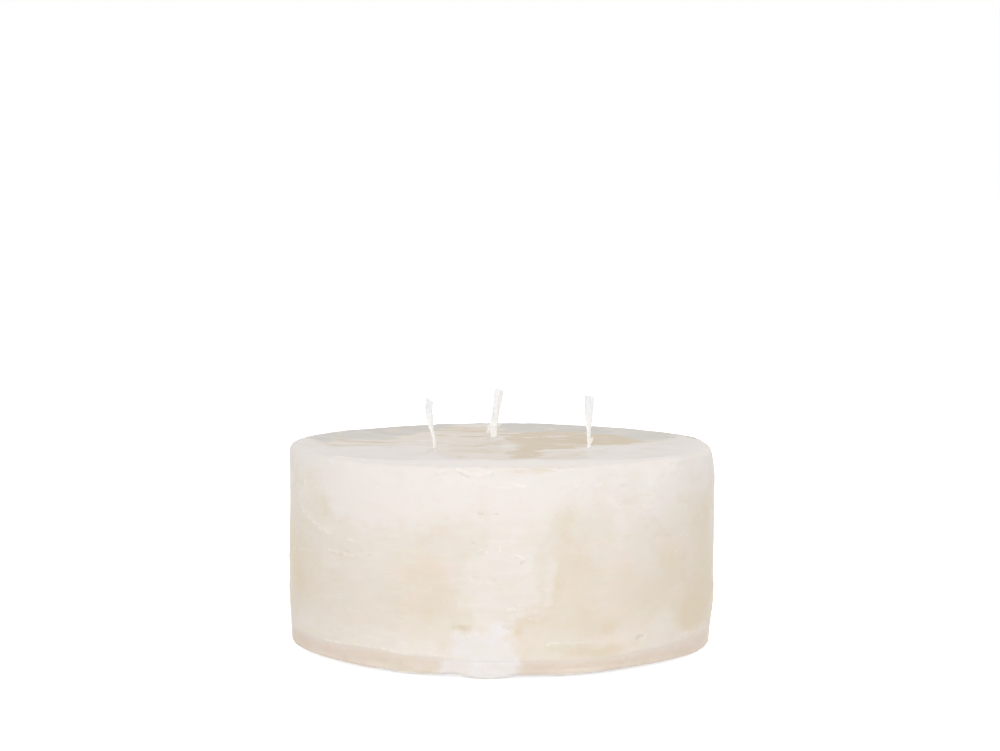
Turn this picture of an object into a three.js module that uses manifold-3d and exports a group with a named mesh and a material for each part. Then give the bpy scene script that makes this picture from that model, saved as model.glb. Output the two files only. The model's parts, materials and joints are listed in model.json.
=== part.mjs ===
// A three-wick pillar candle. The wax body is cast first. A second pour fills the sink hole that the
// setting wax leaves, and becomes the foot. Three flat braided wicks stand in pinned bores. Each is held by
// a steel sustainer in the foot and sealed by a collar of wax at the top.
// Millimetres, +Z up. The origin is the middle of the foot, on the surface that the candle stands on.
// The front of the candle faces -Y.

import * as THREE from "three";
import { mergeVertices } from "three/addons/utils/BufferGeometryUtils.js";
import Module from "manifold-3d";

// Wax body
const candleRadius = 75;
const candleHeight = 70;
const rimRounding = 2.5; // worn upper edge
const rimLand = 3.5; // flat ring inside the worn edge
const dishSlope = 9; // width of the slope from the ring down to the floor of the dish
const dishDepth = 1.2; // the top sinks a little as the wax sets
const seamRounding = 0.8; // lower edge of the wall, where the foot shows under it

// Second pour
const footThickness = 7;
const footInset = 0.4; // the foot stands back from the wall above it
const footRounding = 5;
const sinkMouthRadius = 50; // sink hole in the underside of the body, which the second pour fills
const sinkSlope = 16; // how much narrower its upper end is
const sinkDepth = 8;

// Wicks
const wickWidth = 2.5;
const wickThickness = 1.1;
const tipSpread = 1.12; // the cut end opens a little
const leftWickReach = 27; // from the middle of the candle
const rearWickReach = 26;
const rightWickReach = 32.3;
const leftWickLength = 17.4; // above the floor of the dish
const rearWickLength = 17.6;
const rightWickLength = 18.4;
const leftWickSnip = 1.5; // how much lower the right edge of the cut end is
const rearWickSnip = 0.2;
const rightWickSnip = 0.8;
const wickBendOffset = 2; // the farthest that a wick bends away from its base
const wicks = [
  {
    side: "left",
    reach: leftWickReach,
    bearing: 210,
    length: leftWickLength,
    snip: leftWickSnip,
    turnAtFoot: 88,
    turnAtTip: 18,
    // Share of the length, then how far the wick has bent to the right and to the back there, as
    // shares of wickBendOffset.
    bends: [
      [0.16, -0.05, 0],
      [0.31, -0.35, 0.05],
      [0.45, -0.63, 0.1],
      [0.58, -0.75, 0.15],
      [0.72, -0.95, 0.2],
      [0.86, -1, 0.2],
      [1, -0.9, 0.25],
    ],
  },
  {
    side: "rear",
    reach: rearWickReach,
    bearing: 96.5,
    length: rearWickLength,
    snip: rearWickSnip,
    turnAtFoot: 40,
    turnAtTip: 12,
    bends: [
      [0.16, -0.03, 0],
      [0.31, 0.05, -0.05],
      [0.45, 0.25, -0.1],
      [0.58, 0.45, -0.15],
      [0.72, 0.65, -0.15],
      [0.86, 0.8, -0.2],
      [1, 0.92, -0.2],
    ],
  },
  {
    side: "right",
    reach: rightWickReach,
    bearing: 340,
    length: rightWickLength,
    snip: rightWickSnip,
    turnAtFoot: 80,
    turnAtTip: -8,
    bends: [
      [0.16, 0, 0.05],
      [0.31, -0.05, 0.1],
      [0.45, -0.08, 0.15],
      [0.58, -0.05, 0.2],
      [0.72, 0, 0.25],
      [0.86, 0.05, 0.3],
      [1, 0.13, 0.35],
    ],
  },
];

// Wax seals round the wicks
const sealRadius = 2.9;
const sealDepth = 2.5;
const collarRadius = 4;
const collarHeight = 0.7;
const collarLip = 0.5; // width of the flat top round the wick

// Steel sustainers
const flangeRadius = 9;
const flangeThickness = 0.4;
const flangeRecess = 1; // depth of the pocket that the flange is pressed into
const neckWall = 0.35;
const neckHeight = 5;

const fitGap = 0.3; // clearance between pieces that fit in each other
const cutMargin = 1; // how far a cutting tool runs past the face that it opens

// Faces of the facets
const bodySides = 96;
const boreSides = 32;
const flangeSides = 64;
const wickSides = 14;
const arcSteps = 5; // in a quarter round, and down the slope of the dish
const wickRings = 15; // steps along a wick, of which the first is its whole straight stretch
const snipStart = 0.7; // share of the free stretch above which the facets lean towards the snip

const footRadius = candleRadius - footInset;
const dishFloor = candleHeight - dishDepth;
const sinkFloorRadius = sinkMouthRadius - sinkSlope;
const sinkTop = footThickness + sinkDepth;
const throatWidth = wickWidth + 2 * fitGap; // hole for the wick in its seal and its sustainer
const throatThickness = wickThickness + 2 * fitGap;
const neckWidth = throatWidth + 2 * neckWall;
const neckThickness = throatThickness + 2 * neckWall;
const boreRadius = neckWidth / 2 + fitGap;
const mouthRadius = sealRadius + fitGap;
const flangeTop = flangeRecess;
const wickFoot = flangeTop - flangeThickness;

const wasm = await Module();
wasm.setup();

// Points of a quarter round in a [radius, height] profile, from one angle to another in degrees. It is a
// quarter of a circle, or of an oval where it has a rise of its own.
function quarter(centreRadius, centreHeight, size, from, to, rise = size) {
  return Array.from({ length: arcSteps + 1 }, (_, step) => {
    const angle = THREE.MathUtils.degToRad(THREE.MathUtils.lerp(from, to, step / arcSteps));
    return [centreRadius + size * Math.cos(angle), centreHeight + rise * Math.sin(angle)];
  });
}

// A turned solid about +Z. The [radius, height] profile runs from the axis at the bottom to the axis at
// the top.
function turned(profile, sides) {
  const points = profile.map(([radius, height]) => new THREE.Vector2(radius, height));
  return new THREE.LatheGeometry(points, sides).rotateX(Math.PI / 2);
}

// A round or oval bar about +Z, from one height to another.
function bar(width, thickness, from, to, sides = boreSides) {
  return new THREE.CylinderGeometry(0.5, 0.5, to - from, sides)
    .rotateX(Math.PI / 2)
    .scale(width, thickness, 1)
    .translate(0, 0, (from + to) / 2);
}

function solidOf(geometry) {
  const bare = new THREE.BufferGeometry();
  bare.setAttribute("position", geometry.getAttribute("position"));
  bare.setIndex(geometry.index);
  const merged = mergeVertices(bare);
  const mesh = new wasm.Mesh({
    numProp: 3,
    vertProperties: merged.attributes.position.array,
    triVerts: new Uint32Array(merged.index.array),
  });
  return new wasm.Manifold(mesh);
}

function geometryOf(solid) {
  const mesh = solid.getMesh();
  const geometry = new THREE.BufferGeometry();
  geometry.setAttribute("position", new THREE.BufferAttribute(mesh.vertProperties, 3));
  geometry.setIndex(new THREE.BufferAttribute(mesh.triVerts, 1));
  return geometry;
}

// The geometry less the given tools.
function cut(geometry, tools) {
  return geometryOf(tools.reduce((solid, tool) => solid.subtract(solidOf(tool)), solidOf(geometry)));
}

function placeOf(wick) {
  const bearing = THREE.MathUtils.degToRad(wick.bearing);
  return new THREE.Vector3(Math.cos(bearing), Math.sin(bearing), 0).multiplyScalar(wick.reach);
}

// One cutting tool for each wick, at the wick's place.
function atEachWick(makeTool) {
  return wicks.map((wick) => {
    const { x, y } = placeOf(wick);
    return makeTool(wick).translate(x, y, 0);
  });
}

function waxBodyGeometry() {
  const landRadius = candleRadius - rimRounding;
  const slopeStart = landRadius - rimLand;
  const slope = Array.from({ length: arcSteps + 1 }, (_, step) => {
    const share = step / arcSteps;
    const sunk = dishDepth * THREE.MathUtils.smoothstep(share, 0, 1);
    return [slopeStart - dishSlope * share, candleHeight - sunk];
  });
  const profile = [
    [0, sinkTop],
    [sinkFloorRadius, sinkTop],
    [sinkMouthRadius, footThickness],
    ...quarter(candleRadius - seamRounding, footThickness + seamRounding, seamRounding, -90, 0),
    ...quarter(landRadius, candleHeight - rimRounding, rimRounding, 0, 90),
    ...slope,
    [0, dishFloor],
  ];
  const bores = atEachWick(() =>
    bar(2 * boreRadius, 2 * boreRadius, footThickness - cutMargin, candleHeight + cutMargin),
  );
  const mouths = atEachWick(() =>
    bar(2 * mouthRadius, 2 * mouthRadius, dishFloor - sealDepth, candleHeight + cutMargin),
  );
  return cut(turned(profile, bodySides), [...bores, ...mouths]);
}

function footPourGeometry() {
  const plugTop = sinkTop - fitGap;
  const profile = [
    [0, 0],
    ...quarter(footRadius - footRounding, footRounding, footRounding, -90, 0),
    [footRadius, footThickness],
    [sinkMouthRadius - fitGap, footThickness],
    [sinkFloorRadius - fitGap, plugTop],
    [0, plugTop],
  ];
  const bores = atEachWick(() => bar(2 * boreRadius, 2 * boreRadius, -cutMargin, sinkTop + cutMargin));
  const pocketRadius = flangeRadius + fitGap;
  const pockets = atEachWick(() => bar(2 * pocketRadius, 2 * pocketRadius, -cutMargin, flangeTop));
  return cut(turned(profile, bodySides), [...bores, ...pockets]);
}

// The line that a wick's free stretch follows, from the top of its collar.
function freeLine(wick) {
  const straightTop = dishFloor + collarHeight;
  const bends = wick.bends.map(([share, right, back]) => {
    const height = THREE.MathUtils.lerp(straightTop, dishFloor + wick.length, share);
    return new THREE.Vector3(wickBendOffset * right, wickBendOffset * back, height);
  });
  return new THREE.CatmullRomCurve3([new THREE.Vector3(0, 0, straightTop), ...bends]);
}

// A wick stands straight up to the top of its collar, then bends and twists as a flat braid does. The snip
// leaves the right edge of its end lower than the left one, which is as high as the wick is long.
function wickGeometry(wick) {
  const line = freeLine(wick);
  const geometry = new THREE.CylinderGeometry(0.5, 0.5, 1, wickSides, wickRings);
  const position = geometry.getAttribute("position");
  for (let i = 0; i < position.count; i++) {
    const across = position.getX(i);
    // The first ring is the foot, and the others are shared out along the free stretch.
    const ring = Math.round((position.getY(i) + 0.5) * wickRings);
    const along = Math.max(0, (ring - 1) / (wickRings - 1));
    const centre = ring === 0 ? new THREE.Vector3(0, 0, wickFoot) : line.getPoint(along);
    const lengthwise = ring < 2 ? new THREE.Vector3(0, 0, 1) : line.getTangent(along);
    const twist = THREE.MathUtils.smoothstep(along, 0, 1);
    const turn = THREE.MathUtils.degToRad(THREE.MathUtils.lerp(wick.turnAtFoot, wick.turnAtTip, twist));
    const widthwise = new THREE.Vector3(Math.cos(turn), Math.sin(turn), 0);
    widthwise.addScaledVector(lengthwise, -widthwise.dot(lengthwise)).normalize();
    const through = new THREE.Vector3().crossVectors(widthwise, lengthwise);
    const spread = THREE.MathUtils.lerp(1, tipSpread, along);
    const snipped = wick.snip * (across + 0.5) * THREE.MathUtils.smoothstep(along, snipStart, 1);
    const point = centre
      .addScaledVector(widthwise, across * wickWidth * spread)
      .addScaledVector(through, position.getZ(i) * wickThickness * spread)
      .addScaledVector(lengthwise, -snipped);
    position.setXYZ(i, point.x, point.y, point.z);
  }
  return geometry;
}

// The oval hole that a wick passes through, turned as the wick's straight part is.
function throat(wick, from, to) {
  return bar(throatWidth, throatThickness, from, to).rotateZ(THREE.MathUtils.degToRad(wick.turnAtFoot));
}

// Its own zero is the floor of the dish.
function sealGeometry(wick) {
  const lipRadius = throatWidth / 2 + collarLip;
  const profile = [
    [0, -sealDepth],
    [sealRadius, -sealDepth],
    [sealRadius, 0],
    ...quarter(collarRadius, collarHeight, collarRadius - lipRadius, 270, 180, collarHeight),
    [0, collarHeight],
  ];
  return cut(turned(profile, boreSides), [throat(wick, -sealDepth - cutMargin, collarHeight + cutMargin)]);
}

// Its own zero is the upper face of the flange.
function sustainerGeometry(wick) {
  const flange = bar(2 * flangeRadius, 2 * flangeRadius, -flangeThickness, 0, flangeSides);
  const neck = bar(neckWidth, neckThickness, -flangeThickness / 2, neckHeight);
  neck.rotateZ(THREE.MathUtils.degToRad(wick.turnAtFoot));
  const stamping = geometryOf(solidOf(flange).add(solidOf(neck)));
  return cut(stamping, [throat(wick, -flangeThickness - cutMargin, neckHeight + cutMargin)]);
}

const bodyWax = new THREE.MeshStandardMaterial({ color: 0xebe1d3, roughness: 0.45, metalness: 0 });
const footWax = new THREE.MeshStandardMaterial({ color: 0xe2d1bf, roughness: 0.45, metalness: 0 });
const sealWax = new THREE.MeshStandardMaterial({ color: 0xe6dccd, roughness: 0.35, metalness: 0 });
const cotton = new THREE.MeshStandardMaterial({ color: 0xf4efe6, roughness: 0.9, metalness: 0 });
const tinnedSteel = new THREE.MeshStandardMaterial({ color: 0xb8babd, roughness: 0.35, metalness: 1 });

function piece(name, geometry, material, height = 0) {
  const mesh = new THREE.Mesh(geometry, material);
  mesh.name = name;
  mesh.position.z = height;
  return mesh;
}

// One wick with its seal and its sustainer, at its place in the candle.
function wickSet(wick) {
  const set = new THREE.Group();
  set.position.copy(placeOf(wick));
  set.add(piece(`wick_${wick.side}`, wickGeometry(wick), cotton));
  set.add(piece(`wick_seal_${wick.side}`, sealGeometry(wick), sealWax, dishFloor));
  set.add(piece(`sustainer_${wick.side}`, sustainerGeometry(wick), tinnedSteel, flangeTop));
  return set;
}

const candle = new THREE.Group();
candle.add(piece("wax_body", waxBodyGeometry(), bodyWax));
candle.add(piece("foot_pour", footPourGeometry(), footWax));
candle.add(...wicks.map(wickSet));

export default candle;
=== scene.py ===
# Three-wick pillar candle of cast wax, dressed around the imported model.
# The dictionaries give millimetres and degrees. Meshes are in metres, and the candle's front faces -Y.

import json
import math
import random

import bmesh
import bpy
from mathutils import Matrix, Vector, noise

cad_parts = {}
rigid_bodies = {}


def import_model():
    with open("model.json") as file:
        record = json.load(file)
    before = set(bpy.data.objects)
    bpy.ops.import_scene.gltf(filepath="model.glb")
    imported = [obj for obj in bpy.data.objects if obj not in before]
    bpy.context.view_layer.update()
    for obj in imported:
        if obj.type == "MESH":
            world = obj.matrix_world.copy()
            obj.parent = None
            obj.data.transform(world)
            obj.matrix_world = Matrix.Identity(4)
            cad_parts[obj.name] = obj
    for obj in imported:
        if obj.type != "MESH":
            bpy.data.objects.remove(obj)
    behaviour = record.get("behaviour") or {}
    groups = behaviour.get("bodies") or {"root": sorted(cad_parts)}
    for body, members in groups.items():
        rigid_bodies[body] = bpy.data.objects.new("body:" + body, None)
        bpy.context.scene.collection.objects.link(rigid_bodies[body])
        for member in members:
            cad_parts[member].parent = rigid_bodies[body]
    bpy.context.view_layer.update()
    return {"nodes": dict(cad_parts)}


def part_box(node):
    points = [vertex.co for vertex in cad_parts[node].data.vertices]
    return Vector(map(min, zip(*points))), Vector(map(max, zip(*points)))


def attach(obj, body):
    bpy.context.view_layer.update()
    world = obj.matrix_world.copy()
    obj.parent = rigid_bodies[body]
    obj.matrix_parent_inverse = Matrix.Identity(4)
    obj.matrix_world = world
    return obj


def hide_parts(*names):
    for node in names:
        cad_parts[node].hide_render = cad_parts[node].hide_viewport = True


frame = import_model()
print("frame:", len(frame["nodes"]), "nodes")

mm = 0.001
mergeGap = 0.0005 * mm  # points closer than this become one
noise.seed_set(27)  # without a seed, noise vectors change from run to run


# Camera, as the photograph was taken
shot = {
    "distance": 865,  # from the candle's middle
    "height": 159.9,
    "aside": -0.7,
    "pitch": 4.37,  # degrees below level
    "lens": 88.67,
}
cameraData = bpy.data.cameras.new("camera")
cameraData.lens = shot["lens"]
cameraData.sensor_width = 36
cameraData.clip_start = 0.01
camera = bpy.data.objects.new("camera", cameraData)
camera.location = Vector((shot["aside"], -shot["distance"], shot["height"])) * mm
camera.rotation_euler = (math.radians(90 - shot["pitch"]), 0, 0)
bpy.context.scene.collection.objects.link(camera)
bpy.context.scene.camera = camera
bpy.context.scene.view_settings.view_transform = "Standard"
print("camera set")


# Small helpers for meshes

def smoothstep(low, high, value):
    share = min(1, max(0, (value - low) / (high - low)))
    return share * share * (3 - 2 * share)


def blendNumbers(low, high, share):
    return low + (high - low) * share


def meshFrom(bm, name):
    mesh = bpy.data.meshes.new(name)
    bm.to_mesh(mesh)
    bm.free()
    piece = bpy.data.objects.new(name, mesh)
    bpy.context.scene.collection.objects.link(piece)
    return piece


def shadeSmooth(bm, sharpAngle=40):
    for face in bm.faces:
        face.smooth = True
    for edge in bm.edges:
        edge.smooth = edge.calc_face_angle(0) < math.radians(sharpAngle)


# Spins a profile right round the candle's axis.
def spinRound(bm, profile, steps):
    bmesh.ops.spin(bm, geom=profile, cent=(0, 0, 0), axis=(0, 0, 1), angle=2 * math.pi, steps=steps,
                   use_merge=True)


# A closed turned shape. Corners are (radius, height, rounding), and rowSizeAt gives how far apart the rows
# of its mesh are at a place.
def spinShape(corners, columns, rowSizeAt, roundSteps=4):
    bm = bmesh.new()
    verts = [bm.verts.new((radius * mm, 0, height * mm)) for radius, height, rounding in corners]
    for pair in zip(verts, verts[1:]):
        bm.edges.new(pair)
    for vert, (radius, height, rounding) in zip(verts, corners):
        if rounding:
            bmesh.ops.bevel(bm, geom=[vert], offset=rounding * mm, offset_type="OFFSET", segments=roundSteps,
                            profile=0.5, affect="VERTICES", material=-1)
    for edge in bm.edges[:]:
        middle = (edge.verts[0].co + edge.verts[1].co) / 2 / mm
        cuts = round(edge.calc_length() / (rowSizeAt(middle.x, middle.z) * mm)) - 1
        if cuts > 0:
            bmesh.ops.subdivide_edges(bm, edges=[edge], cuts=cuts)
    spinRound(bm, bm.verts[:] + bm.edges[:], columns)
    bmesh.ops.remove_doubles(bm, verts=bm.verts, dist=mergeGap)
    bmesh.ops.recalc_face_normals(bm, faces=bm.faces)
    return bm


# Drills a hole at each wick. Steps are the (radius, height) corners of the drill bit, from its foot up.
def drillAtWicks(piece, steps, facets):
    bm = bmesh.new()
    for place in wickPlaces.values():
        foot, head = steps[0], steps[-1]
        outline = [(0, foot[1]), *steps, (0, head[1])]
        verts = [bm.verts.new((radius * mm, 0, height * mm)) for radius, height in outline]
        edges = [bm.edges.new(pair) for pair in zip(verts, verts[1:])]
        spinRound(bm, verts + edges, facets)
        fresh = [vert for vert in bm.verts if not vert.tag]
        bmesh.ops.translate(bm, vec=Vector((place.x, place.y, 0)) * mm, verts=fresh)
        for vert in fresh:
            vert.tag = True
    bmesh.ops.remove_doubles(bm, verts=bm.verts, dist=mergeGap)
    bmesh.ops.recalc_face_normals(bm, faces=bm.faces)
    drillBits = meshFrom(bm, "drill_bits")
    cut = piece.modifiers.new("drill", "BOOLEAN")
    cut.operation = "DIFFERENCE"
    cut.solver = "EXACT"
    cut.object = drillBits
    bpy.context.view_layer.objects.active = piece
    bpy.ops.object.modifier_apply(modifier=cut.name)
    bpy.data.objects.remove(drillBits)


# Opens a drilled piece again, so that its points get their last places. putBack ends that.
def reopened(piece):
    bm = bmesh.new()
    bm.from_mesh(piece.data)
    bmesh.ops.remove_doubles(bm, verts=bm.verts, dist=mergeGap)
    return bm


def putBack(bm, piece):
    shadeSmooth(bm)
    bm.to_mesh(piece.data)
    bm.free()
    return piece


def nodePlace(node):
    low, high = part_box(node)
    return (low + high) / 2 / mm


def finishPiece(piece, material, slot, *nodes):
    piece.data.materials.append(material)
    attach(piece, "root")
    if nodes:
        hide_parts(*nodes)


# Small helpers for materials

def fromScreen(red, green, blue):
    linear = [pow((value / 255 + 0.055) / 1.055, 2.4) for value in (red, green, blue)]
    return (*linear, 1)


def newMaterial(name):
    material = bpy.data.materials.new(name)
    material.use_nodes = True
    shader = material.node_tree.nodes["Principled BSDF"]
    return material, material.node_tree, shader


def plug(tree, value, socket):
    if isinstance(value, bpy.types.NodeSocket):
        tree.links.new(value, socket)
    else:
        socket.default_value = value


def maths(tree, operation, first, second=0.0, clamp=False):
    node = tree.nodes.new("ShaderNodeMath")
    node.operation = operation
    node.use_clamp = clamp
    plug(tree, first, node.inputs[0])
    plug(tree, second, node.inputs[1])
    return node.outputs[0]


# 0 below low, 1 above high, with a soft change between them.
def softStep(tree, value, low, high):
    node = tree.nodes.new("ShaderNodeMapRange")
    node.interpolation_type = "SMOOTHSTEP"
    plug(tree, value, node.inputs["Value"])
    node.inputs["From Min"].default_value = low
    node.inputs["From Max"].default_value = high
    return node.outputs["Result"]


def mixColour(tree, share, first, second):
    node = tree.nodes.new("ShaderNodeMix")
    node.data_type = "RGBA"
    plug(tree, share, node.inputs[0])
    plug(tree, first, node.inputs[6])
    plug(tree, second, node.inputs[7])
    return node.outputs[2]


def surfacePoint(tree):
    return tree.nodes.new("ShaderNodeTexCoord").outputs["Object"]


def stretched(tree, point, scale, shift=(0, 0, 0)):
    node = tree.nodes.new("ShaderNodeMapping")
    node.inputs["Location"].default_value = shift
    node.inputs["Scale"].default_value = scale
    plug(tree, point, node.inputs["Vector"])
    return node.outputs[0]


# Cloudy noise whose lumps are about size millimetres wide, from 0 to 1.
def cloud(tree, point, size, detail=3.0, rough=0.55, warp=0.0):
    node = tree.nodes.new("ShaderNodeTexNoise")
    node.inputs["Scale"].default_value = 1000 / size
    node.inputs["Detail"].default_value = detail
    node.inputs["Roughness"].default_value = rough
    node.inputs["Distortion"].default_value = warp
    plug(tree, point, node.inputs["Vector"])
    return node.outputs[0]


def meshValue(tree, name):
    node = tree.nodes.new("ShaderNodeAttribute")
    node.attribute_name = name
    return node.outputs["Fac"]


def addBump(tree, shader, height, depth):
    node = tree.nodes.new("ShaderNodeBump")
    node.inputs["Strength"].default_value = 1
    node.inputs["Distance"].default_value = depth * mm
    plug(tree, height, node.inputs["Height"])
    plug(tree, node.outputs[0], shader.inputs["Normal"])


# Measures shared by the wax pieces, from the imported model
bodyLow, bodyHigh = (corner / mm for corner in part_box("wax_body"))
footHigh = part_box("foot_pour")[1] / mm
waxRadius = bodyHigh.x
waxTop = bodyHigh.z
seamHeight = bodyLow.z
sides = ("left", "rear", "right")
wickPlaces = {side: nodePlace("sustainer_" + side) for side in sides}


# Where a point of the candle lies: degrees to the right of the front, and distance from the axis.
def aroundCandle(point):
    return math.degrees(math.atan2(point.x, -point.y)), math.hypot(point.x, point.y)


def arcLength(angle, fromAngle):
    return math.radians((angle - fromAngle + 180) % 360 - 180) * waxRadius


# Height of a boundary line at an angle, from (angle, height) pairs all the way round.
def boundaryAt(pairs, angle):
    for (angle0, height0), (angle1, height1) in zip(pairs, pairs[1:]):
        if angle0 <= angle <= angle1:
            return blendNumbers(height0, height1, smoothstep(angle0, angle1, angle))
    return pairs[-1][1]


sliceWidth = 4  # degrees
patchReach = 2.4  # in half widths of a soft patch, past which it has no effect
markMargin = 4  # millimetres round a line or an outline in which it is still looked for
farOutside = -12  # stands for no outline near


# Sorts marks into slices of the wall, so that a point only looks at the marks near it.
def sliceMarks(marks, anglesOf):
    slices = [[] for start in range(0, 360, sliceWidth)]
    for mark in marks:
        lowAngle, highAngle = anglesOf(mark)
        for index in range(math.floor(lowAngle / sliceWidth), math.floor(highAngle / sliceWidth) + 1):
            slices[index % len(slices)].append(mark)
    return slices


def slicePatches(patches):
    def anglesOf(patch):
        half = math.degrees(patch[2] * patchReach / waxRadius)
        return patch[0] - half, patch[0] + half
    return sliceMarks(patches, anglesOf)


def marksNear(slices, angle):
    return slices[math.floor(angle / sliceWidth) % len(slices)]


# Sum of soft round patches, each (angle, height, half width, half height, amount), on the side wall.
def wallPatches(slices, angle, height):
    total = 0
    for patchAngle, patchHeight, halfWidth, halfHeight, amount in marksNear(slices, angle):
        across = arcLength(angle, patchAngle) / halfWidth
        up = (height - patchHeight) / halfHeight
        if abs(up) < patchReach:
            total += amount * math.exp(-across * across - up * up)
    return total


# The same for the top, each (x, y, half length, half width, turn, amount).
def topPatches(patches, point):
    total = 0
    for x, y, halfLength, halfWidth, turn, amount in patches:
        cosTurn, sinTurn = math.cos(math.radians(turn)), math.sin(math.radians(turn))
        right, back = point.x - x, point.y - y
        along = (right * cosTurn + back * sinTurn) / halfLength
        across = (back * cosTurn - right * sinTurn) / halfWidth
        if abs(along) < patchReach and abs(across) < patchReach:
            total += amount * math.exp(-along * along - across * across)
    return total


# Distance from a flat point to a line through several points.
def lineAway(line, point):
    nearest = 1000
    for start, end in zip(line, line[1:]):
        run = end - start
        share = min(1, max(0, (point - start).dot(run) / run.length_squared))
        nearest = min(nearest, (start + run * share - point).length)
    return nearest


# Distance to a closed outline, above 0 inside it.
def insideOutline(outline, point):
    inside = False
    closed = outline + outline[:1]
    for start, end in zip(closed, closed[1:]):
        if (start.y > point.y) != (end.y > point.y):
            if point.x < start.x + (point.y - start.y) / (end.y - start.y) * (end.x - start.x):
                inside = not inside
    nearest = lineAway(closed, point)
    return nearest if inside else -nearest


# Lays the (angle, height) points of a mark out flat, in millimetres from the first point's angle.
def unroll(points):
    return points[0][0], [Vector((arcLength(angle, points[0][0]), height)) for angle, height in points]


def slicedLines(marks):
    laid = []
    for mark in marks:
        middle, line = unroll(mark[-1])
        laid.append((*mark[:-1], middle, line))

    def anglesOf(mark):
        reach = mark[0] + markMargin
        low = min(point.x for point in mark[-1]) - reach
        high = max(point.x for point in mark[-1]) + reach
        return mark[-2] + math.degrees(low / waxRadius), mark[-2] + math.degrees(high / waxRadius)
    return sliceMarks(laid, anglesOf)


# Largest signed distance inside any of the frosted crusts near a point of the wall.
def crustAt(slices, angle, height):
    found = farOutside
    for spread, middle, outline in marksNear(slices, angle):
        found = max(found, insideOutline(outline, Vector((arcLength(angle, middle), height))) + spread)
    return found


# Strength and raised height of the fine lines and specks near a point of the wall.
def strokesAt(slices, angle, height):
    pale, relief = 0, 0
    for halfWidth, paleness, raised, middle, line in marksNear(slices, angle):
        away = lineAway(line, Vector((arcLength(angle, middle), height))) / halfWidth
        if away < 2:
            share = smoothstep(2, 0.3, away)
            if abs(paleness * share) > abs(pale):
                pale = paleness * share
            relief += raised * share
    return pale, relief


# Sum of noise lumps at a point, each (size, height).
def lumpsAt(lumps, point):
    return sum(height * noise.noise(point / size) for size, height in lumps)


# How far the edge of a mark wanders at a point, from steps of (size, distance).
def wanderAt(steps, point):
    return sum((noise.noise_vector(point / size) * distance for size, distance in steps), Vector())


# Where the two pours of wax meet
seam = {
    # The line wanders a little up and down: angle, offset.
    "offsets": [(-180, 0.3), (-120, -0.4), (-90, 0.2), (-64, 0.9), (-50, 0.4), (-40, 0.95), (-32, 0.9),
                (-26, 0.1), (-17, 0), (-12, -0.7), (8, -0.7), (18, -1.4), (30, -1.0), (38, 0), (48, 0),
                (56, 0.8), (66, 0.9), (90, 0.1), (130, 0.5), (180, 0.3)],
    # Worn places that run across it: angle, height, half width, half height, depth.
    "wear": [
        (88, 4.5, 30, 13.5, 1.6),
        (-94, 7, 26, 11, 0.85),
        (165, 6, 26, 9, 0.5),
    ],
    "blend": 0.5,  # how far the two colours run into each other at the line
    "blendHeight": 1.3,
}
seamWearSlices = slicePatches(seam["wear"])


def seamWave(angle):
    turn = math.radians(angle)
    around = Vector((math.cos(turn), math.sin(turn), 0))
    wave = 0.14 * noise.noise(around * 8) + 0.12 * noise.noise(around * 19)
    return wave + boundaryAt(seam["offsets"], angle)


def seamBlend(fromSeam):
    return seam["blend"] * smoothstep(seam["blendHeight"], 0, fromSeam)


# Fine lines for the sides that the photograph doesn't show
unseen = {
    "angles": (66, 294),
    "lengths": (0.4, 6),
    "halfWidths": (0.3, 0.75),
    "relief": (0.08, 0.22),
    "palenesses": (0.9, 0.6, -0.5, -0.8),
    "slopeSpread": 0.18,
    "steepEvery": 6,  # one line in so many has any slope between these
    "steepSlopes": (-1.2, 1.2),
}


def unseenStrokes(count, heights, seed):
    rng = random.Random(seed)
    strokes = []
    for index in range(count):
        angle = rng.uniform(*unseen["angles"])
        height = rng.uniform(*heights)
        length = rng.uniform(*unseen["lengths"])
        steep = index % unseen["steepEvery"] == 0
        slope = rng.uniform(*unseen["steepSlopes"]) if steep else rng.gauss(0, unseen["slopeSpread"])
        run = math.degrees(length / waxRadius)
        middle = (angle + run / 2, height + length * slope * 0.5 + rng.gauss(0, 0.2))
        end = (angle + run, height + length * slope)
        paleness = rng.choice(unseen["palenesses"])
        # Pale lines stand proud and dark ones are sunk, their colour painting highlight and shadow besides
        # the mark itself
        raised = rng.uniform(*unseen["relief"]) * (1 if paleness > 0 else -1)
        line = [(angle, height), middle, end]
        strokes.append((rng.uniform(*unseen["halfWidths"]), paleness, raised, line))
    return strokes


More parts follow.
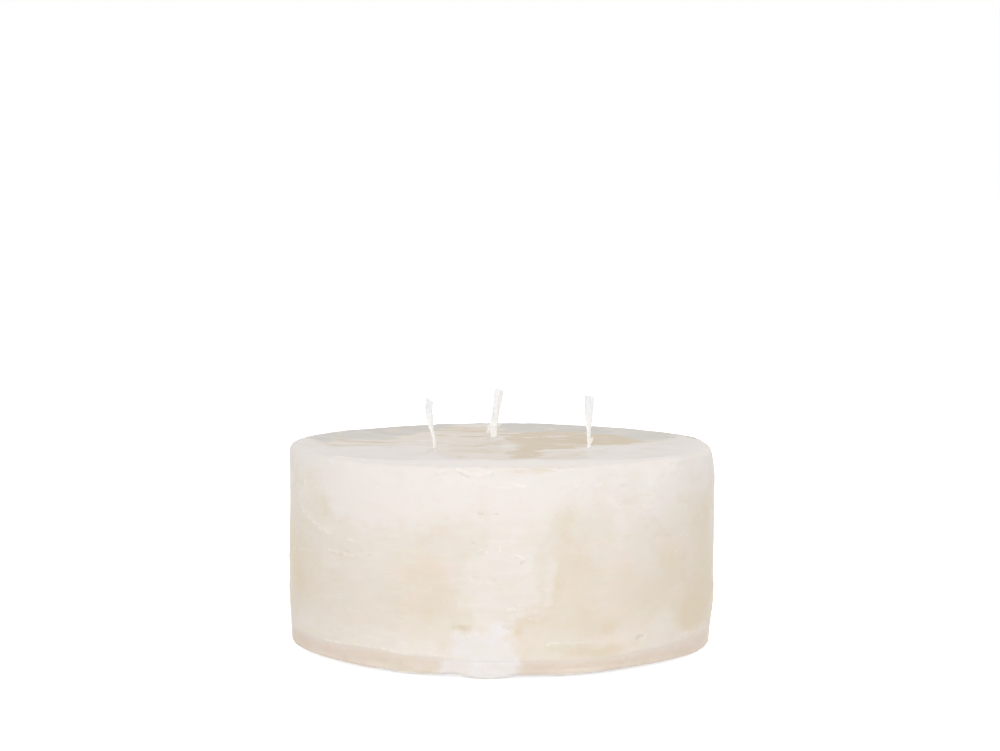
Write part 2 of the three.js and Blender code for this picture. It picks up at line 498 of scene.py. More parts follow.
# Wax body
waxBody = {
    "columns": 430,
    "wallRow": 1.0,
    "rimRow": 0.6,
    "topRow": 1.5,
    "hiddenRow": 9,
    "rimRounding": 1.3,
    "rimLand": 3.5,
    "rimBand": 5,  # rows of the mesh are closer together this near to the rim
    "landRounding": 1.5,
    "dishSlope": 9,
    "dishDepth": 1.2,
    "dishRounding": 4,
    "seamRounding": 0.12,
    "seamFade": 4,  # the body follows the waves of the seam up to this height above it
    "sinkMouth": 50,
    "sinkFloor": 34,
    "sinkDepth": 8,
    "boreRadius": 2.65,
    "mouthRadius": 3.2,
    "mouthDepth": 2.5,
    "drillFacets": 48,
    # Noise lumps: size, height. The wall is also scraped across and the top rippled.
    "wallLumps": [(26, 0.2), (9, 0.1), (3.3, 0.05)],
    "scrapes": 0.05,
    "topLumps": [(22, 0.16), (7, 0.07)],
    "ripples": 0.1,
    # How far the edges of marks wander: size, distance.
    "wallWander": [(13, 2.2), (4.5, 0.8)],
    "crustWander": [(6, 0.9)],
    "topWander": [(7, 2), (2.5, 0.7)],
    # Worn places on the rim: angle, reach round the rim, depth, reach down the wall.
    "rimWear": [
        (84, 26, 2.2, 14),
        (126, 17, 1.15, 6),
        (62, 9, 0.5, 5),
        (17, 8, 0.45, 4),
        (-33, 11, 0.4, 4),
        (-88, 5, 0.5, 4),
        (-140, 14, 0.8, 5),
        (150, 18, 0.7, 6),
    ],
    "chipReach": 4,  # small chips along the rim
    "chipDepth": 0.75,
    # Painted shade: the rim is painted grey towards the back, from these angles to the right and left of the
    # front, and faintly at the front
    "shadedRimRight": (92, 114),  # the rim turns grey between these angles to the right and left of the front
    "shadedRimLeft": (112, 136),
    "shadedRimFront": 0.25,
    # Dents: angle, height, half width, half height, depth.
    "dents": [
        (-12.3, 66.4, 5.2, 2.6, 0.45),
        (3.8, 65.8, 8.5, 2.8, 0.4),
        (17.5, 66.2, 5.5, 2.2, 0.35),
        (29, 65, 6, 2.8, 0.35),
        (-31, 65.8, 7.0, 2.4, 0.28),
        (44, 63, 7, 4, 0.4),
        (56, 67, 6, 3.0, 0.4),
        (-57, 52.5, 8.6, 6.6, 0.4),
        (-9.9, 17.1, 3.6, 1.1, 0.3),
        (4.5, 19.2, 4.4, 1.3, 0.3),
        (16.4, 9.4, 6.5, 1.8, 0.3),
        (37.5, 11.2, 1.7, 1.5, 0.5),
        (24, 48, 14, 7, 0.25),
        (-34, 24, 12, 8, 0.25),
        (62, 34, 10, 12, 0.3),
        (88, 26, 24, 26, 0.4),
        (-90, 58, 26, 22, 0.52),
        (90, 50, 26, 16, 0.22),
        (-74, 38, 7, 12, 0.2),
        (105, 48, 12, 6, 0.35),
        (140, 22, 14, 5, 0.3),
        (172, 58, 10, 4, 0.35),
        (-150, 50, 14, 6, 0.35),
        (-120, 20, 8, 5, 0.3),
        (-100, 60, 7, 4, 0.3),
    ],
    # Fine lines and specks: half width, paleness (darker below 0), raised height, then the line's
    # (angle, height) points.
    # Besides the wax's own marks, the pale raised lines carry a painted highlight, and the dark sunk lines,
    # often just under them, a painted shadow
    "strokes": [
        (0.9, 0.65, 0.16, [(-62.4, 60.2), (-65.5, 57), (-67, 53.4), (-65, 51), (-62.6, 49.7), (-58.5, 48),
                           (-55.7, 46.4), (-52.5, 45.5), (-50.1, 45.2)]),
        (0.45, 0.9, 0.15, [(-63, 60.8), (-62.4, 58.9)]),
        (0.45, 0.9, 0.2, [(-43.3, 43.5), (-41.3, 43.4)]),
        (0.35, 0.9, 0.2, [(-50.5, 39.2), (-46, 38.4), (-41.4, 38.1)]),
        (0.3, -0.5, -0.15, [(-46, 39.7), (-42.6, 39.3)]),
        (0.5, 0.45, 0.1, [(-68, 36.2), (-60, 37.2)]),
        (0.4, 0.4, 0.1, [(-34, 46), (-29, 46.2), (-26.5, 45.8)]),
        (0.5, 0.8, 0.2, [(-16.2, 68.3), (-14.2, 68.5), (-13.4, 68.2)]),
        (0.6, 0.7, 0.2, [(-11.2, 68.9), (-9.6, 68.1), (-7.8, 67.4), (-4.4, 67.3), (-3, 68.2)]),
        (0.35, -0.5, -0.25, [(-11, 68.1), (-9.8, 67), (-8.4, 66.1)]),
        (0.3, -0.25, -0.1, [(-16.4, 66.6), (-14.2, 67.2)]),
        (0.3, -0.35, -0.15, [(-3.2, 67.2), (-2.9, 66)]),
        (0.35, -0.4, -0.2, [(3.4, 68), (4.8, 68)]),
        (0.3, -0.25, -0.1, [(-0.6, 65.7), (3.2, 65.5)]),
        (0.5, 0.7, 0.2, [(-0.9, 69.2), (1.8, 69.4)]),
        (0.45, 0.5, 0.15, [(2.2, 69), (6.4, 69.1)]),
        (0.5, 0.7, 0.2, [(12.6, 69.2), (15, 69.3), (18.4, 69.2)]),
        (0.6, 0.6, 0.2, [(-5.3, 64.3), (-4.1, 64.4)]),
        (0.45, 0.6, 0.2, [(0.2, 63), (2, 63.3)]),
        (0.55, 0.8, 0.2, [(2.9, 64.4), (4.1, 63.9), (5.7, 63.3)]),
        (0.55, 0.8, 0.2, [(15.6, 61.3), (17.5, 62.2), (19.2, 63.2)]),
        (0.5, 0.6, 0.15, [(22.3, 64), (24.2, 62.8), (26, 63.6)]),
        (0.5, 0.5, 0.15, [(28.4, 57.4), (30, 56.9), (31.6, 57.3)]),
        (0.5, 0.6, 0.18, [(30.6, 55.5), (33, 55.1), (35.2, 54.8)]),
        (0.5, -0.28, -0.12, [(37.2, 59.1), (39, 58.6), (40.8, 58.3), (43, 60.2)]),
        (0.5, -0.3, -0.12, [(47.2, 65.7), (48.6, 64.9), (50.5, 64), (53, 65.9)]),
        (0.45, -0.25, -0.08, [(31.8, 59.6), (34.6, 59.7)]),
        (0.35, -0.6, -0.2, [(31.2, 62.6), (33, 62.4)]),
        (0.6, 0.7, 0.2, [(38.5, 55.3), (39.6, 54.2), (41, 54.8)]),
        (0.7, 0.8, 0.25, [(47, 68.2), (50, 69.2), (53.5, 68.4), (54.5, 66.4)]),
        (0.28, -0.9, -0.12, [(-5.9, 54.7), (-3.4, 54.5), (-0.6, 54.6)]),
        (0.35, -0.7, -0.2, [(-7.4, 45.1), (-6.7, 45)]),
        (0.35, -0.8, -0.2, [(4.5, 38.3), (5.1, 38.7)]),
        (0.38, 1.0, 0.25, [(-0.6, 43.6), (-0.6, 42.4)]),
        (0.5, 0.8, 0.2, [(-5.8, 42.3), (-4.5, 42.7), (-3.7, 42.2)]),
        (0.45, 0.8, 0.2, [(3.1, 41.3), (4.6, 40.5), (5.4, 39.6)]),
        (0.7, -0.35, -0.2, [(-7, 33.4), (-4.3, 32.9), (-1.9, 33.2)]),
        (1.1, -0.5, -0.2, [(-12.2, 17.6), (-10.4, 17.3), (-8.4, 16.8)]),
        (0.6, -0.6, -0.2, [(0.5, 17.4), (1.5, 17.2)]),
        (0.6, 0.6, 0.15, [(1.2, 23.2), (3, 23.5), (4.6, 23.3)]),
        (0.4, 0.5, 0.1, [(6.8, 20.2), (8.9, 19.7)]),
        (0.6, 0.6, 0.15, [(1.9, 20.4), (5.5, 21.8), (8.8, 22.8)]),
        (0.35, 0.6, 0.15, [(-9.9, 13.6), (-6, 15.2)]),
        # Painted highlight: a pale line along the wall's lower edge, just above the seam
        (0.5, 0.75, 0.12, [(-52, 7.9), (-40, 7.7), (-30, 7.6), (-20, 7.7), (-13, 8)]),
        (0.4, 0.5, 0.15, [(-37.5, 11.6), (-35, 11.9)]),
        (0.4, 0.6, 0.15, [(35.4, 12.6), (37.4, 13.4), (39.4, 12.3), (39.6, 10.6)]),
        (0.45, -0.6, -0.3, [(36.4, 11.4), (38.3, 11.6)]),
        (0.45, 0.6, 0.15, [(11, 11.4), (12.4, 12), (17, 11.7), (23, 11.9)]),
        (0.4, 0.7, 0.15, [(55.4, 9.9), (60.8, 9.5)]),
        (0.3, -0.4, -0.12, [(42, 45.2), (46.3, 44.4), (50, 44.6)]),
        (0.5, 0.45, 0.12, [(51, 43.2), (54, 44), (56.4, 43)]),
        (0.35, 0.5, 0.12, [(62.5, 51.6), (66, 46.4)]),
        (0.3, -0.35, -0.1, [(-30, 28.6), (-24, 28.2)]),
        (0.3, -0.35, -0.1, [(22, 30.2), (27, 30.6)]),
        (0.3, 0.4, 0.1, [(10.5, 29.4), (13.5, 29.2)]),
    ],
    "unseenStrokes": (74, (9, 67), 27),  # count, lowest and highest place, seed
    # Lower edge of the frosted zone under the rim.
    "frostEdge": [(-180, 56), (-150, 60), (-120, 50), (-95, 62), (-75, 67), (-62, 65), (-50, 60), (-40, 53),
                  (-28, 51), (-20, 50), (-10, 52), (0, 50), (10, 52), (14, 56), (20, 59.5), (25, 56),
                  (34, 54.5), (43, 55.5), (50, 60), (60, 62), (80, 62), (110, 52), (140, 60), (180, 56)],
    "frostFade": 10,
    "frostUnderRim": 0.85,
    # Frosted crusts with a clear edge: spread, then the outline's (angle, height) points.
    "crusts": [
        (0, [(-15.6, 5), (-15, 7.6), (-13.6, 9), (-13, 12), (-12.9, 14.6), (-11.6, 16),
             (-9.2, 15.4), (-8, 16.6), (-6.6, 17.6), (-5, 17.2), (-3.2, 16.4), (-1.8, 18), (-0.4, 17.8),
             (0, 16), (-0.6, 14), (1.6, 12), (2.6, 10.4), (3, 7.9), (3, 5)]),
        (0.5, [(44.6, 71.5), (45, 68.8), (47.3, 66.3), (50.4, 64.6), (52.8, 66.6), (53, 69), (52.4, 71.5)]),
        (0.5, [(36.9, 61.6), (38.6, 63.8), (39.9, 66.8), (42.6, 71), (44.1, 69.4), (43.6, 66), (44, 63.4),
               (42.9, 61), (40.7, 58.9), (37.6, 59.6)]),
        (0, [(127, 4), (125, 9), (128, 15), (126, 22), (129, 28), (127.5, 33), (132, 37), (131, 44),
             (135, 51), (138.5, 53), (140, 47), (144, 45), (143, 38), (147, 33), (142.5, 28), (141, 22),
             (145, 17), (143, 11), (146, 7), (145, 4)]),
        (0, [(-130, 35), (-134, 39), (-131.5, 43), (-135, 48), (-131, 50), (-128, 56), (-123, 54), (-119, 58),
             (-114.5, 55), (-116, 49), (-110.5, 46), (-112, 42), (-117, 41), (-115.5, 36), (-121, 34.5),
             (-123, 38.5), (-126, 33)]),
        (0, [(-172, 5), (-174, 10), (-171, 14), (-174.5, 19), (-170, 22), (-169, 28), (-164, 27), (-161, 31),
             (-157.5, 27), (-159, 22), (-154.5, 19), (-157, 13), (-155, 9), (-158, 5)]),
    ],
    # The same, but thin enough to see through.
    "veils": [
        (0, [(-7.6, 16), (-8.4, 21), (-10.6, 25.5), (-11.4, 30), (-11.3, 37), (-9.4, 41), (-6.2, 43.4),
             (-4.2, 47), (-6, 50), (-14, 52), (-18, 56), (-14, 63), (-4, 64), (6, 64), (13.2, 62), (13.9, 56),
             (13.1, 49), (11, 47), (9.6, 44), (9.4, 39), (8.9, 31), (9.0, 24.6), (5.6, 21.8), (2.4, 19.8),
             (1.2, 16)]),
        (-0.6, [(9.6, 46), (13.6, 46), (13.9, 38), (13.6, 31), (12.4, 25), (10.4, 24), (10.6, 32),
                (9.8, 40)]),
        (0, [(28.6, 58), (28.2, 50), (29, 43), (31, 42), (33, 48), (34, 56), (33, 60)]),
        (0, [(-53, 58), (-48, 50), (-41, 47), (-33, 49), (-22, 47), (-20, 56), (-26, 64), (-40, 66),
             (-52, 64)]),
        (0, [(20, 60), (26, 57.5), (36, 56), (43, 52), (50, 57), (52, 66), (38, 68), (22, 67)]),
        (0.3, [(20.6, 66), (26.4, 64.4), (31.9, 62.8), (36.4, 62), (34.6, 60.3), (32, 60.2), (31.3, 57.4),
               (28.6, 58), (26.8, 57.2), (24.3, 59.7), (21, 60.4)]),
        (0, [(98, 22), (94, 34), (104, 40), (112, 30), (108, 20)]),
        (0, [(168, 30), (164, 44), (176, 52), (188, 46), (186, 33)]),
        (0, [(-102, 8), (-106, 20), (-96, 28), (-88, 20), (-90, 9)]),
        (0, [(-140, 29), (-145, 41), (-141, 55), (-128, 64), (-114, 63), (-105, 52), (-103, 40), (-111, 31),
             (-126, 25)]),
        (0, [(119, 6), (117, 20), (121, 34), (124, 50), (133, 60), (144, 58), (151, 46), (155, 34), (149, 20),
             (153, 8)]),
    ],
    # Soft frosted patches: angle, height, half width, half height, amount.
    "frostPatches": [
        (-62, 12, 22, 3.4, 0.42),
        (-30, 11.5, 22, 3.4, 0.5),
        (-22, 8.5, 10, 3, 0.35),
        (32, 12.5, 16, 1.8, 0.25),
        (46, 15, 8, 5, 0.35),
        (88, 62, 11, 8, 0.9),
        (57, 68, 5, 4, -0.3),
        (-80, 66, 7, 4, 0.5),
        (-33, 38, 12, 9, 0.28),
        (150, 26, 12, 14, 0.5),
        (-145, 22, 9, 20, 0.5),
        (115, 40, 14, 8, 0.4),
        (180, 12, 24, 4, 0.5),
        (-95, 12, 16, 4, 0.5),
        (9.5, 69, 11, 2.5, -0.5),
        (34.4, 57.9, 2.6, 2.2, -0.6),
        (47.6, 62.2, 4, 2, -0.5),
    ],
    # Places as pale as the front strip of the top.
    "palePatches": [(48.6, 67.6, 5.5, 4, 0.9), (41.6, 65.4, 4.6, 5.5, 0.85), (33, 69, 8, 3, 0.4)],
    # Clear honey-coloured patches of the wall, and painted shade at its sides
    "honeyAndShadePatches": [
        (-71, 29, 15, 17, 0.95),
        (-60, 54, 6, 6, 0.2),
        (-53, 54, 8, 6, 0.4),
        (-57, 65, 12, 4, 0.35),
        # Painted shade: these eight patches near 90 degrees to each side darken the wall where it turns away
        # from the front
        (-93, 53, 12, 9, 0.55),
        (-90, 39, 9, 9, 0.65),
        (-95, 24, 15, 11, 0.7),
        (-88, 13, 8, 8, 0.6),
        (94, 55, 12, 9, 0.5),
        (90, 42, 9, 10, 0.65),
        (96, 28, 15, 11, 0.7),
        (88, 14, 9, 8, 0.65),
        (-19, 22, 10, 7, 0.4),
        (-18, 36, 8, 9, 0.4),
        (-14, 49, 4, 3.5, 0.25),
        (-28, 32, 7, 7, 0.25),
        (12.6, 30, 2.4, 9, 0.35),
        (7, 47.5, 4.5, 4, 0.65),
        (15.5, 52, 4, 7, 0.35),
        (7, 18.6, 5, 2.6, 0.5),
        (63, 19, 10, 8, 0.55),
        (23, 17, 7, 6, 0.35),
        (77, 22, 9, 14, 0.9),
        (20, 33, 8, 14, 0.35),
        (34, 24, 14, 10, 0.4),
        (50, 30, 12, 14, 0.55),
        (66, 30, 9, 16, 0.5),
        (57, 15, 8, 8, 0.95),
        (57.3, 13.6, 2.6, 2.0, 0.4),
        (27.5, 16.4, 3.6, 2.6, 0.55),
        (26, 8.8, 9.5, 1.7, 0.75),
        (62, 52, 8, 14, 0.3),
        (12, 69.2, 13, 1.7, 0.8),
        (4, 15.5, 2.2, 1.6, 0.8),
        (15, 40, 7, 16, 0.25),
        (70, 50, 7, 8, 0.5),
        (-10, 17.1, 3.6, 1.2, 0.5),
        (17, 8.8, 6, 1.4, 0.35),
        (120, 22, 16, 12, 0.7),
        (165, 46, 12, 9, 0.6),
        (-110, 34, 14, 14, 0.7),
        (-165, 38, 9, 10, 0.6),
        (-140, 14, 12, 5, 0.6),
    ],
    # Clear honey-coloured pool in the top, in plan.
    "pool": [(-66, -4), (-62, 30), (-45, 52), (-20, 64), (5, 67), (30, 62), (50, 49), (62, 36), (58, 25),
             (51, 10), (42, 3), (32, -2), (30, -7), (31.6, -13), (28.8, -19), (30.4, -25), (28, -31),
             (28.6, -36), (25, -41), (21, -45.5), (14, -44.5), (8, -47.5), (2, -43.5), (-4, -44.5), (-8, -40),
             (-14, -39.5), (-17, -34.5), (-22, -30), (-21, -23), (-25, -17), (-27, -10), (-34, -6), (-43, -2),
             (-54, 1)],
    # Deeper honey-coloured streaks in the top: x, y, half length, half width, turn, amount. The first
    # few also lie lower.
    "sunkStreaks": 7,
    "streakDepth": 0.2,
    "topStreaks": [
        (-40.5, 41, 8, 3.4, 0, 0.4),
        (-11, 2, 8, 2.6, 0, 0.8),
        (-8, -18, 9, 7, 0, 0.6),
        (-16, -36, 6, 3, 0, 0.5),
        (22, 16, 14, 18, 0, 0.4),
        (18, 54, 26, 9, 0, 0.5),
        (-3, 14, 3, 6, 0, 0.7),
        (10, 32, 2.2, 3, 0, 0.5),
        (42, 24, 12, 6, 12, 0.7),
        (56, 29, 7, 6, 20, 0.45),
        (12, 50, 22, 6, 0, 0.4),
        (-30, 55, 16, 4, 12, 0.6),
        (-52, 28, 12, 2, 10, 0.6),
    ],
    # Paler patches in the top, which stand a little proud. Those in line in front of each wick are painted
    # reflections of the wicks.
    "paleRise": 0.1,
    "topPaleAndReflections": [
        (2.5, 0, 3.2, 11, 0, 0.8),
        (0.5, 33, 3, 1.6, 0, 0.9),
        (12.4, 32, 0.9, 1.8, 0, 0.9),
        (16, 34, 0.9, 1.8, 0, 0.6),
        # Painted reflection of the right wick
        (30.7, -21, 1.9, 8, 0, 0.7),
        (32, -37, 2.6, 7, 8, 0.5),
        # Painted reflection of the left wick
        (-23.6, -22, 1.8, 6, 4, 0.6),
        (-25, -33, 2.4, 5, -8, 0.4),
        (66, -2, 8, 18, 0, 0.5),
        (-66, -18, 7, 22, 0, 0.4),
        (36, -3, 6, 8, 10, 0.6),
        (-34, 26, 7, 4, -6, 0.5),
        (-22, 16, 9, 4, 0, 0.6),
        (-18, -10, 9, 3.4, 0, 0.7),
        (-7, -28, 5, 4, 0, 0.5),
        (-48, -6, 6, 4, 0, 0.5),
        (-27, -8, 4, 9, 0, 0.5),
        (-12, 46, 4, 3, 0, 0.5),
        (30, 44, 7, 3, 0, 0.4),
        (0, -58, 46, 6, 0, 0.3),
        (-44, -8, 22, 22, 0, 0.6),
        (-20, -38, 26, 8, 0, 0.3),
        (6, 4, 6, 22, 0, 0.15),
        (3, -30, 8, 14, 0, 0.2),
        # Painted reflection of the rear wick
        (-2.9, 18, 2.2, 7, 0, 0.9),
        (0, -48, 40, 8, 0, 0.3),
        (46, -30, 12, 12, 0, 0.3),
    ],
    # The deepest part of the pool, and outlines of painted shade at the back of the top.
    "deepPool": [(0, 41), (7, 46), (22, 49), (32, 48), (43, 41), (48, 32), (51, 16), (43, 6), (35, 2),
                 (30, -5), (20, -10), (15.5, -14), (16.5, -19), (13.5, -24), (15.5, -30), (12, -35),
                 (10, -39), (5, -41), (1.6, -36), (3, -30), (0.6, -24), (3, -18), (5.4, -12), (3, -6),
                 (5, 0), (3, 7), (4.4, 14), (1.6, 21)],
    "shadedBacks": [
        [(-2, 76), (22, 76), (50, 60), (66, 36), (62, 23), (55, 18), (50, 17), (43, 32), (33, 48), (14, 50),
         (-1, 50)],
        [(-71, 21), (-65, 35), (-58, 47), (-50, 58), (-39, 66), (-20, 73), (-20, 60), (-28, 54), (-37, 34),
         (-44, 20), (-58, 19), (-61, 8), (-65, 5), (-66, 14)],
    ],
    # Lines drawn in the top: half width, depth of the honey colour (paler below 0), then (x, y) points.
    "topLines": [
        (1.2, 1.05, [(-60.4, 21.1), (-53.9, 16.5), (-46.6, 13.4), (-38.9, 9.6)]),
        (1.5, 1.2, [(-60.1, 2.1), (-54.4, 1)]),
        (2.6, 1, [(-46, 45.8), (-40.7, 42.1), (-34.8, 42.8)]),
        (1.9, 1.3, [(-38.7, -33.7), (-35.4, -30.5)]),
        (1.7, 1.3, [(-22, 36.9), (-15.3, 32.5), (-7.3, 34)]),
        (1.4, 0.9, [(-28, -16.8), (-24.3, -14.9)]),
        (1.3, 0.8, [(-8, -49.8), (-5, -49.8)]),
        (2.2, -1.3, [(13.2, -16.2), (20.9, -11.3), (27.1, -14.5), (33.6, -6.3)]),
        (1.1, -1.2, [(9.5, 31.8), (11, 30)]),
        (1.3, -0.7, [(18.2, 44.7), (20.5, 45.8)]),
        (1.3, -1, [(-0.7, 35.4), (1.9, 34.7)]),
        (1.2, -0.8, [(-27.5, -5.7), (-24.6, -3.7)]),
        (1.2, -0.9, [(31.5, -6.3), (34.6, 0.4)]),
    ],
    "frontStrip": -45.5,  # in front of this the top is as frosted as the wall
    "stripWander": 4,
    "stillRadius": 5,  # the top stays flat this near to each wick
}

bodyStrokeSlices = slicedLines(waxBody["strokes"] + unseenStrokes(*waxBody["unseenStrokes"]))
dentSlices = slicePatches(waxBody["dents"])
crustSlices = slicedLines(waxBody["crusts"])
veilSlices = slicedLines(waxBody["veils"])


def flatPoints(corners):
    return [Vector(corner) for corner in corners]


poolOutline = flatPoints(waxBody["pool"])
deepOutline = flatPoints(waxBody["deepPool"])
backShadeOutlines = [flatPoints(corners) for corners in waxBody["shadedBacks"]]
topLines = [(halfWidth, amount, flatPoints(line)) for halfWidth, amount, line in waxBody["topLines"]]


# Splits the faces round each fine mark more finely, so that it has a shape of its own.
def refineStrokes(bm, slices):
    near = []
    for edge in bm.edges:
        middle = (edge.verts[0].co + edge.verts[1].co) / 2 / mm
        angle, radius = aroundCandle(middle)
        if radius < waxRadius - 0.5:
            continue
        for halfWidth, paleness, raised, lineAngle, line in marksNear(slices, angle):
            if lineAway(line, Vector((arcLength(angle, lineAngle), middle.z))) < halfWidth * 1.6 + 0.4:
                near.append(edge)
                break
    bmesh.ops.subdivide_edges(bm, edges=near, cuts=2, use_grid_fill=True)


def dentsAt(slices, angle, height):
    relief = 0
    for dentAngle, dentHeight, halfWidth, halfHeight, depth in marksNear(slices, angle):
        across = arcLength(angle, dentAngle) / halfWidth
        up = (height - dentHeight) / halfHeight
        away = across * across + up * up
        if away < 1:
            relief -= depth * (1 - away) ** 2
        elif away < 2:
            relief += 0.16 * depth * math.sin(math.pi * (away - 1))
    return relief


def wallRelief(settings, point, angle, height):
    scraped = Vector((point.x / 16, point.y / 16, point.z / 1.9))
    relief = lumpsAt(settings["wallLumps"], point) + settings["scrapes"] * noise.noise(scraped)
    return relief + dentsAt(dentSlices, angle, height)


def topRelief(settings, point, radius):
    (broadSize, broadHeight), (fineSize, fineHeight) = settings["topLumps"]
    relief = broadHeight * noise.noise(point / broadSize + Vector((7, 3, 1)))
    relief += fineHeight * noise.noise(point / fineSize)
    rippled = Vector((point.x / 15, point.y / 3.6, 4))
    inwards = smoothstep(waxRadius, waxRadius - 12, radius)
    relief += settings["ripples"] * noise.noise(rippled) * inwards
    sunk = settings["topStreaks"][:settings["sunkStreaks"]]
    relief -= settings["streakDepth"] * topPatches(sunk, point)
    relief += settings["paleRise"] * topPatches(settings["topPaleAndReflections"], point)
    nearest = min(math.hypot(point.x - place.x, point.y - place.y) for place in wickPlaces.values())
    return relief * smoothstep(settings["stillRadius"], settings["stillRadius"] + 5, nearest)


# How far the rim is worn down at a place near it.
def rimWearAt(settings, angle, radius, height, point):
    away = math.hypot(waxRadius - radius, waxTop - height)
    total = 0
    for wearAngle, reach, depth, down in settings["rimWear"]:
        across = arcLength(angle, wearAngle) / reach
        if abs(across) < 2 and away < down:
            total += depth * math.exp(-across * across) * (1 - away / down) ** 2
    chipReach = settings["chipReach"]
    if away < chipReach:
        chipped = noise.noise(Vector((point.x / 5, point.y / 5, 11))) + 0.7 * noise.noise(point / 2.3)
        total += max(0, 0.12 + settings["chipDepth"] * chipped) * (1 - away / chipReach) ** 2
    return total


# Amounts of the pool, the frosting, the honey colour, the grey and the pale strip at a place of the top.
def topLayers(settings, point):
    wander = wanderAt(settings["topWander"], point)
    place = Vector((point.x + wander.x, point.y + wander.y))
    aside = settings["stripWander"] * noise.noise(Vector((point.x / 13, point.y / 30, 8)))
    inFront = smoothstep(4, -5, place.y - (settings["frontStrip"] + aside))
    pool = insideOutline(poolOutline, place)
    frost = 0.5 * smoothstep(2, -9, pool) + topPatches(settings["topPaleAndReflections"], point) + 0.5 * inFront
    honey = topPatches(settings["topStreaks"], point)
    honey += 1.2 * smoothstep(-2, 2.5, insideOutline(deepOutline, place))
    uneven = 1 + 0.9 * noise.noise(point / 3.5)
    for halfWidth, amount, line in topLines:
        share = smoothstep(2, 0.4, lineAway(line, place) / halfWidth / uneven)
        honey += amount * share
        frost += max(0, -amount) * 0.7 * share
    # Painted shade over the back of the top
    backShade = max(smoothstep(-6, 4, insideOutline(outline, place)) for outline in backShadeOutlines)
    return pool, frost, honey, backShade, inFront


# Amounts that the wax material reads from each point of the mesh. Crust, veil and pool are distances
# inside an outline.
waxLayers = ("frost", "crust", "veil", "honey", "pool", "stroke", "rimShade", "topShade", "strip", "blend", "edge")


def addWaxLayers(bm):
    return {name: bm.verts.layers.float.new(name) for name in waxLayers}


def clearWaxLayers(vert, layers):
    for name in ("crust", "veil", "pool"):
        vert[layers[name]] = farOutside


